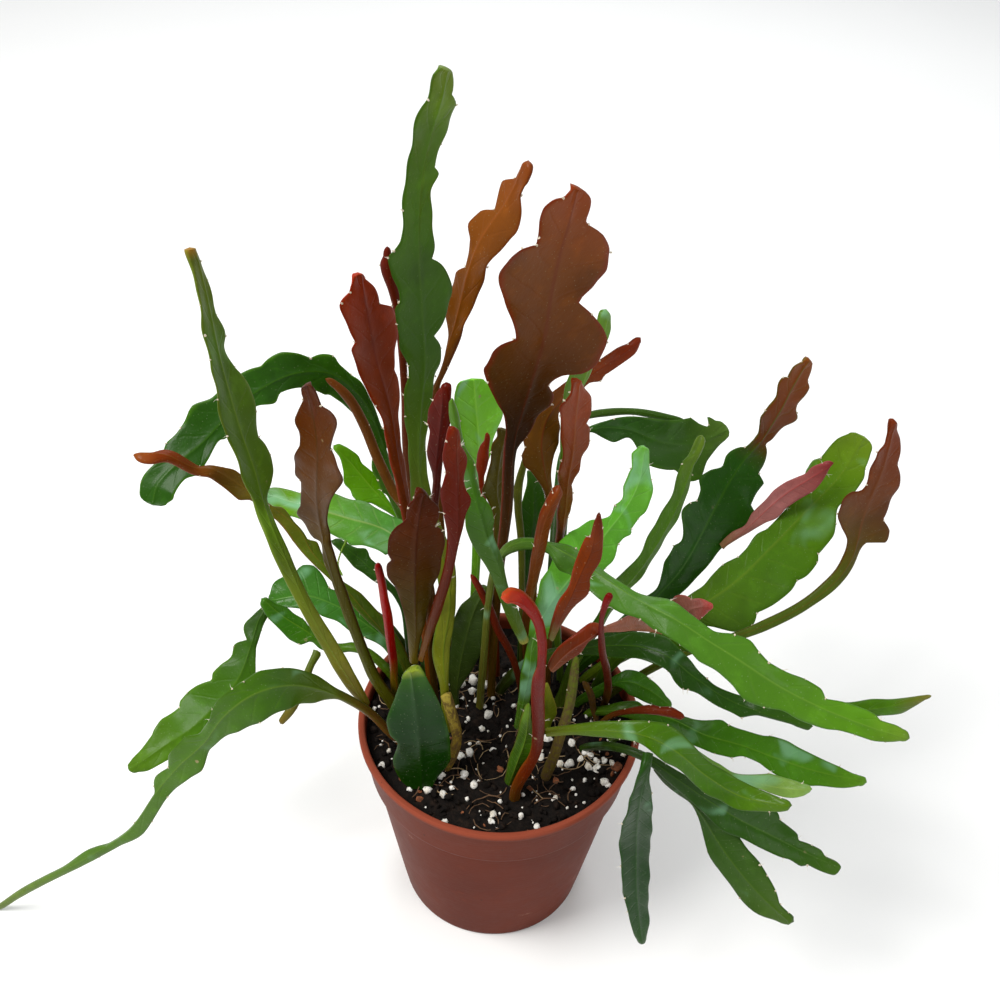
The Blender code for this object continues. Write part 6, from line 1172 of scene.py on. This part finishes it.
def fine_pot():
    top = POT_COLLAR_R - 0.0013
    prof = [(POT_BASE_R - 0.0150, 0.0012), (POT_BASE_R - 0.0046, 0.0012), (POT_BASE_R - 0.0040, 0.0004), (POT_BASE_R - 0.0034, 0.0),
            (POT_BASE_R - 0.0011, 0.0), (POT_BASE_R - 0.0003, 0.0003), (POT_BASE_R, 0.0010),
            (POT_BASE_R + 0.0003, 0.0030), (POT_BASE_R + 0.0014, 0.0100),
            (top - 0.0009, POT_COLLAR_Z - 0.0040), (top - 0.0006, POT_COLLAR_Z - 0.0012), (top - 0.0002, POT_COLLAR_Z - 0.0004),
            (POT_COLLAR_R - 0.0003, POT_COLLAR_Z - 0.0001), (POT_COLLAR_R, POT_COLLAR_Z + 0.0002), (POT_COLLAR_R + 0.0002, POT_COLLAR_Z + 0.0010),
            (POT_COLLAR_R + 0.0016, POT_H - 0.0040), (POT_COLLAR_R + 0.0018, POT_H - 0.0034), (POT_RIM_R - 0.0007, POT_H - 0.0032),
            (POT_RIM_R - 0.0002, POT_H - 0.0029), (POT_RIM_R, POT_H - 0.0023), (POT_RIM_R, POT_H - 0.0010),
            (POT_RIM_R - 0.0002, POT_H - 0.0004), (POT_RIM_R - 0.0007, POT_H), (POT_RIM_R - 0.0020, POT_H),
            (POT_RIM_R - 0.0026, POT_H - 0.0003), (POT_RIM_R - 0.0030, POT_H - 0.0010),
            (POT_COLLAR_R + 0.0001, POT_COLLAR_Z + 0.0040), (top - POT_WALL, POT_COLLAR_Z - 0.0020),
            (POT_BASE_R + 0.0014 - POT_WALL, 0.0105), (POT_BASE_R - 0.0018, POT_FLOOR + 0.0010), (POT_BASE_R - 0.0030, POT_FLOOR)]
    seg = 160
    pts, fs = [], []
    n = len(prof)
    for i in range(seg):
        a = 2 * math.pi * i / seg
        # a hair of unevenness, as thin moulded plastic has
        for r, z in prof:
            e = 0.00022 * math.sin(2 * a + 0.7) * (z / POT_H) ** 2 + 0.0001 * math.sin(5 * a + 9 * z / POT_H)
            pts.append(((r + e) * math.cos(a), (r + e) * math.sin(a), z))
    for i in range(seg):
        i2 = (i + 1) % seg
        for j in range(n - 1):
            fs.append((i * n + j, i2 * n + j, i2 * n + j + 1, i * n + j + 1))
    pts += [(0, 0, 0.0012), (0, 0, POT_FLOOR)]
    for i in range(seg):
        i2 = (i + 1) % seg
        fs.append((len(pts) - 2, i2 * n, i * n))
        fs.append((len(pts) - 1, i * n + n - 1, i2 * n + n - 1))
    soup = Soup()
    soup.add(pts, fs, 0)
    ob = soup.make("pot_fine", [pot_material()], 35)
    for kx in range(8):
        a = 2 * math.pi * (kx + 0.5) / 8
        bm = bmesh.new()
        bmesh.ops.create_cone(bm, cap_ends=True, segments=40, radius1=HOLE_R, radius2=HOLE_R, depth=0.02)
        bmesh.ops.translate(bm, verts=bm.verts, vec=(HOLE_RING * math.cos(a), HOLE_RING * math.sin(a), 0.0))
        me = bpy.data.meshes.new("drain")
        bm.to_mesh(me)
        bm.free()
        c = bpy.data.objects.new("drain", me)
        bpy.context.scene.collection.objects.link(c)
        md = ob.modifiers.new("drain", "BOOLEAN")
        md.object = c
        md.operation = "DIFFERENCE"
        md.solver = "EXACT"
        dg = bpy.context.evaluated_depsgraph_get()
        new = bpy.data.meshes.new_from_object(ob.evaluated_get(dg))
        ob.modifiers.clear()
        ob.data = new
        bpy.data.objects.remove(c, do_unlink=True)
    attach(ob, "root")
    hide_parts("pot")


fine_pot()


# ------------------------------------------------------------------- peat
def peat_material():
    k = Net("peat_crumbs")
    xyz = k.n("TexCoord").outputs["Object"]
    a = k.noise(260.0, 6.0, 0.7, xyz)
    b = k.noise(1500.0, 4.0, 0.7, xyz)
    col = k.ramp(a, [(0.30, lin((8, 6, 5))), (0.52, lin((20, 15, 12))), (0.68, lin((38, 27, 20))), (0.80, lin((70, 50, 34)))])
    col = k.mix(k.rng(b, 0.60, 0.78, 0.0, 0.5), col, lin((92, 74, 56)))
    k.link(col, k.b.inputs["Base Color"])
    k.link(k.math("MULTIPLY_ADD", b, 0.3, 0.62), k.b.inputs["Roughness"])
    k.b.inputs["Specular IOR Level"].default_value = 0.12
    n1 = k.bump(a, 0.9, 0.0014)
    k.link(k.bump(b, 0.8, 0.0005, n1), k.b.inputs["Normal"])
    return k.m


def perlite_material():
    k = Net("perlite")
    xyz = k.n("TexCoord").outputs["Object"]
    a = k.noise(700.0, 5.0, 0.7, xyz)
    big = k.noise(160.0, 2.0, 0.5, xyz)
    col = k.ramp(a, [(0.30, lin((150, 142, 130))), (0.48, lin((222, 218, 210))), (0.7, lin((250, 248, 244)))])
    col = k.mix(k.rng(big, 0.55, 0.7, 0.0, 0.4), col, lin((206, 190, 158)))
    k.link(col, k.b.inputs["Base Color"])
    k.b.inputs["Roughness"].default_value = 0.92
    k.link(k.bump(a, 0.9, 0.0005), k.b.inputs["Normal"])
    return k.m


def fibre_material(name, c1, c2):
    k = Net(name)
    a = k.noise(600.0, 4.0, 0.65)
    k.link(k.ramp(a, [(0.3, lin(c1)), (0.7, lin(c2))]), k.b.inputs["Base Color"])
    k.b.inputs["Roughness"].default_value = 0.85
    k.link(k.bump(a, 0.7, 0.0004), k.b.inputs["Normal"])
    return k.m


def ground(x, y):
    r = math.hypot(x, y) / 0.056
    z = SOIL_Z + 0.0010 * math.sin(95 * x + 1.3) * math.cos(80 * y - 0.6) + 0.0007 * math.sin(210 * y + 140 * x)
    return z - 0.0016 * r ** 4


def on_soil(u, v, z=0.1025):
    """Point on the peat under a place on the front view."""
    d = _f + (u - 500.0) / SCALE * _r - (v - 500.0) / SCALE * _u
    return EYE + d * ((z - EYE[2]) / d[2])


def fine_soil():
    rng = random.Random(5)
    soup = Soup()
    seg, rings = 220, 74
    R = 0.0567
    pts = [(0.0, 0.0, ground(0, 0))]
    for i in range(1, rings + 1):
        for j in range(seg):
            a = 2 * math.pi * (j + 0.5 * (i % 2)) / seg
            r = R * i / rings
            x, y = r * math.cos(a), r * math.sin(a)
            p = Vector((x, y, 0.0))
            h = 0.0016 * (noise.noise(p * 230.0) * 0.6 + noise.noise(p * 620.0) * 0.45 + noise.noise(p * 1500.0) * 0.25)
            h += 0.0012 * noise.noise(p * 90.0)
            if i == rings:
                h = -0.0004
            pts.append((x, y, ground(x, y) + h))
    fs = []
    for j in range(seg):
        fs.append((0, 1 + j, 1 + (j + 1) % seg))
    for i in range(rings - 1):
        o, o2 = 1 + i * seg, 1 + (i + 1) * seg
        for j in range(seg):
            j2 = (j + 1) % seg
            fs.append((o + j, o2 + j, o2 + j2, o + j2))
    side = [(0.0530, 0.0845), (0.0432, 0.0108), (0.0400, 0.0042), (0.0386, 0.0026)]
    o = 1 + (rings - 1) * seg
    for r, z in side:
        b = len(pts)
        for j in range(seg):
            a = 2 * math.pi * (j + 0.5 * (rings % 2)) / seg
            pts.append((r * math.cos(a), r * math.sin(a), z))
        for j in range(seg):
            j2 = (j + 1) % seg
            fs.append((o + j, b + j, b + j2, o + j2))
        o = b
    c = len(pts)
    pts.append((0, 0, 0.0026))
    for j in range(seg):
        fs.append((c, o + (j + 1) % seg, o + j))
    soup.add(pts, fs, 0)

    def spot(rmax=0.0545):
        while True:
            x, y = rng.uniform(-rmax, rmax), rng.uniform(-rmax, rmax)
            if x * x + y * y < rmax * rmax:
                return x, y
    # crumbs of peat
    for _ in range(620):
        x, y = spot()
        r = rng.uniform(0.0005, 0.0019) * (0.7 + 0.6 * rng.random())
        bp, bf = blob(rng, (x, y, ground(x, y) + r * 0.35), r, 0.75, 1)
        soup.add(bp, bf, 0)
    # fibres and rootlets
    for i in range(170):
        x, y = spot(0.052)
        a = rng.random() * 6.28
        ln = rng.uniform(0.004, 0.016)
        bend = rng.uniform(-1.6, 1.6)
        path = []
        for t in range(7):
            f = t / 6
            px = x + math.cos(a + bend * f) * ln * f
            py = y + math.sin(a + bend * f) * ln * f
            if px * px + py * py > 0.055 ** 2:
                break
            path.append((px, py, ground(px, py) + 0.0006 + 0.0016 * math.sin(math.pi * f) * rng.random()))
        if len(path) < 4:
            continue
        rad = rng.uniform(0.00012, 0.00032)
        tp, tf = tube(path, [rad * (1 - 0.5 * t / len(path)) for t in range(len(path))], 5)
        soup.add(tp, tf, 2 if i % 3 else 3)
    # perlite, where the photograph's plant has it, then a sprinkling more
    seen = [(473, 683, 10), (461, 687, 9), (485, 688, 9), (472, 694, 8), (456, 706, 6), (488, 717, 8), (505, 677, 6), (470, 755, 8),
            (461, 759, 8), (441, 778, 8), (464, 776, 8), (474, 785, 8), (427, 793, 7), (443, 797, 7), (382, 766, 7), (493, 815, 6),
            (521, 815, 6), (491, 823, 6), (537, 826, 6), (445, 821, 6), (547, 742, 9), (540, 758, 8), (571, 746, 8), (585, 755, 7),
            (590, 758, 6), (560, 765, 7), (569, 766, 9), (588, 769, 7), (597, 772, 8), (596, 763, 6), (612, 764, 6), (627, 755, 5),
            (604, 783, 8), (610, 787, 6), (493, 752, 6), (482, 730, 6), (402, 770, 5), (389, 752, 5), (500, 800, 4), (467, 800, 4),
            (573, 790, 5), (555, 800, 5), (585, 781, 4), (604, 762, 6), (580, 762, 6), (523, 795, 4), (478, 745, 4), (468, 720, 5),
            (452, 790, 5), (433, 772, 5), (410, 790, 5), (462, 700, 5), (476, 703, 5), (493, 702, 5)]
    for u, v, d in seen:
        p = on_soil(u, v)
        r = d / 2.0 * 0.44 / 1000.0
        if math.hypot(p[0], p[1]) > 0.0548:
            p = p * (0.0545 / math.hypot(p[0], p[1]))
        bp, bf = blob(rng, (p[0], p[1], ground(p[0], p[1]) + r * 0.55), r * 1.05, 0.85, 2)
        soup.add(bp, bf, 1)
    for _ in range(150):
        x, y = spot()
        r = rng.uniform(0.0003, 0.0009)
        if y > 0 and rng.random() < 0.4:
            r *= 1.6
        bp, bf = blob(rng, (x, y, ground(x, y) + r * 0.8), r, 0.85, 1)
        soup.add(bp, bf, 1)
    # bark chips
    for i, (u, v, d) in enumerate([(620, 769, 12), (617, 778, 7), (452, 740, 6), (530, 790, 8), (400, 780, 6), (500, 770, 7), (555, 782, 8), (420, 800, 7)]):
        p = on_soil(u, v)
        r = d / 2.0 * 0.37 / 1000.0
        if math.hypot(p[0], p[1]) > 0.0535:
            p = p * (0.0535 / math.hypot(p[0], p[1]))
        bp, bf = blob(rng, (p[0], p[1], ground(p[0], p[1]) + r * 0.4), r * 1.2, 0.4, 2)
        soup.add(bp, bf, 4)
    for _ in range(26):
        x, y = spot()
        r = rng.uniform(0.0008, 0.0017)
        bp, bf = blob(rng, (x, y, ground(x, y) + r * 0.3), r, 0.35, 1)
        soup.add(bp, bf, 4)
    ob = soup.make("soil_fine", [peat_material(), perlite_material(), fibre_material("brown_fibre", (52, 36, 24), (112, 80, 50)),
                                 fibre_material("pale_fibre", (110, 88, 60), (176, 150, 112)),
                                 fibre_material("bark_chip", (70, 36, 20), (150, 86, 46))], 60)
    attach(ob, "root")
    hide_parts("soil")


fine_soil()


# ------------------------------------------------------------------ stage
def floor():
    k = Net("floor_paper")
    f = k.noise(3.0, 2.0, 0.5)
    k.link(k.ramp(f, [(0.3, (0.88, 0.88, 0.875, 1)), (0.7, (0.90, 0.90, 0.895, 1))]), k.b.inputs["Base Color"])
    k.b.inputs["Roughness"].default_value = 0.9
    k.b.inputs["Specular IOR Level"].default_value = 0.1
    me = bpy.data.meshes.new("floor")
    s = 40.0
    pts, fs = [], []
    n = 24
    for i in range(n + 1):
        for j in range(n + 1):
            pts.append((-s + 2 * s * i / n, -s + 2 * s * j / n, -0.0002))
    for i in range(n):
        for j in range(n):
            a = i * (n + 1) + j
            fs.append((a, a + n + 1, a + n + 2, a + 1))
    me.from_pydata(pts, [], fs)
    me.materials.append(k.m)
    ob = bpy.data.objects.new("floor", me)
    bpy.context.scene.collection.objects.link(ob)


def area(name, loc, target, size, power, color):
    ld = bpy.data.lights.new(name, "AREA")
    ld.shape = "DISK"
    ld.size = size
    ld.energy = power
    ld.color = color
    ob = bpy.data.objects.new(name, ld)
    ob.location = loc
    d = Vector(target) - Vector(loc)
    ob.rotation_euler = d.to_track_quat("-Z", "Y").to_euler()
    bpy.context.scene.collection.objects.link(ob)
    return ob


floor()
world = bpy.data.worlds.new("studio")
world.use_nodes = True
world.node_tree.nodes["Background"].inputs["Color"].default_value = (0.97, 0.985, 1.0, 1)
world.node_tree.nodes["Background"].inputs["Strength"].default_value = 0.52
bpy.context.scene.world = world
area("key", (-0.75, -0.25, 1.25), (0, 0, 0.18), 0.7, 19.0, (1.0, 0.99, 0.96))
area("fill", (0.95, -0.75, 0.9), (0, 0, 0.18), 0.9, 5.0, (1.0, 0.99, 0.97))
area("back", (0.15, 1.1, 1.1), (0, 0, 0.2), 0.8, 7.0, (0.97, 0.99, 1.0))

sc = bpy.context.scene
sc.view_settings.view_transform = "Standard"
sc.view_settings.look = "None"

cam_data = bpy.data.cameras.new("camera")
cam_data.sensor_width = 36.0
cam_data.sensor_fit = "HORIZONTAL"
cam_data.lens = SCALE * 36.0 / 1000.0
cam_data.clip_start = 0.01
cam_ob = bpy.data.objects.new("camera", cam_data)
rot = Matrix(((_r[0], _u[0], -_f[0]), (_r[1], _u[1], -_f[1]), (_r[2], _u[2], -_f[2])))
cam_ob.matrix_world = Matrix.Translation(Vector(EYE)) @ rot.to_4x4()
sc.collection.objects.link(cam_ob)
sc.camera = cam_ob
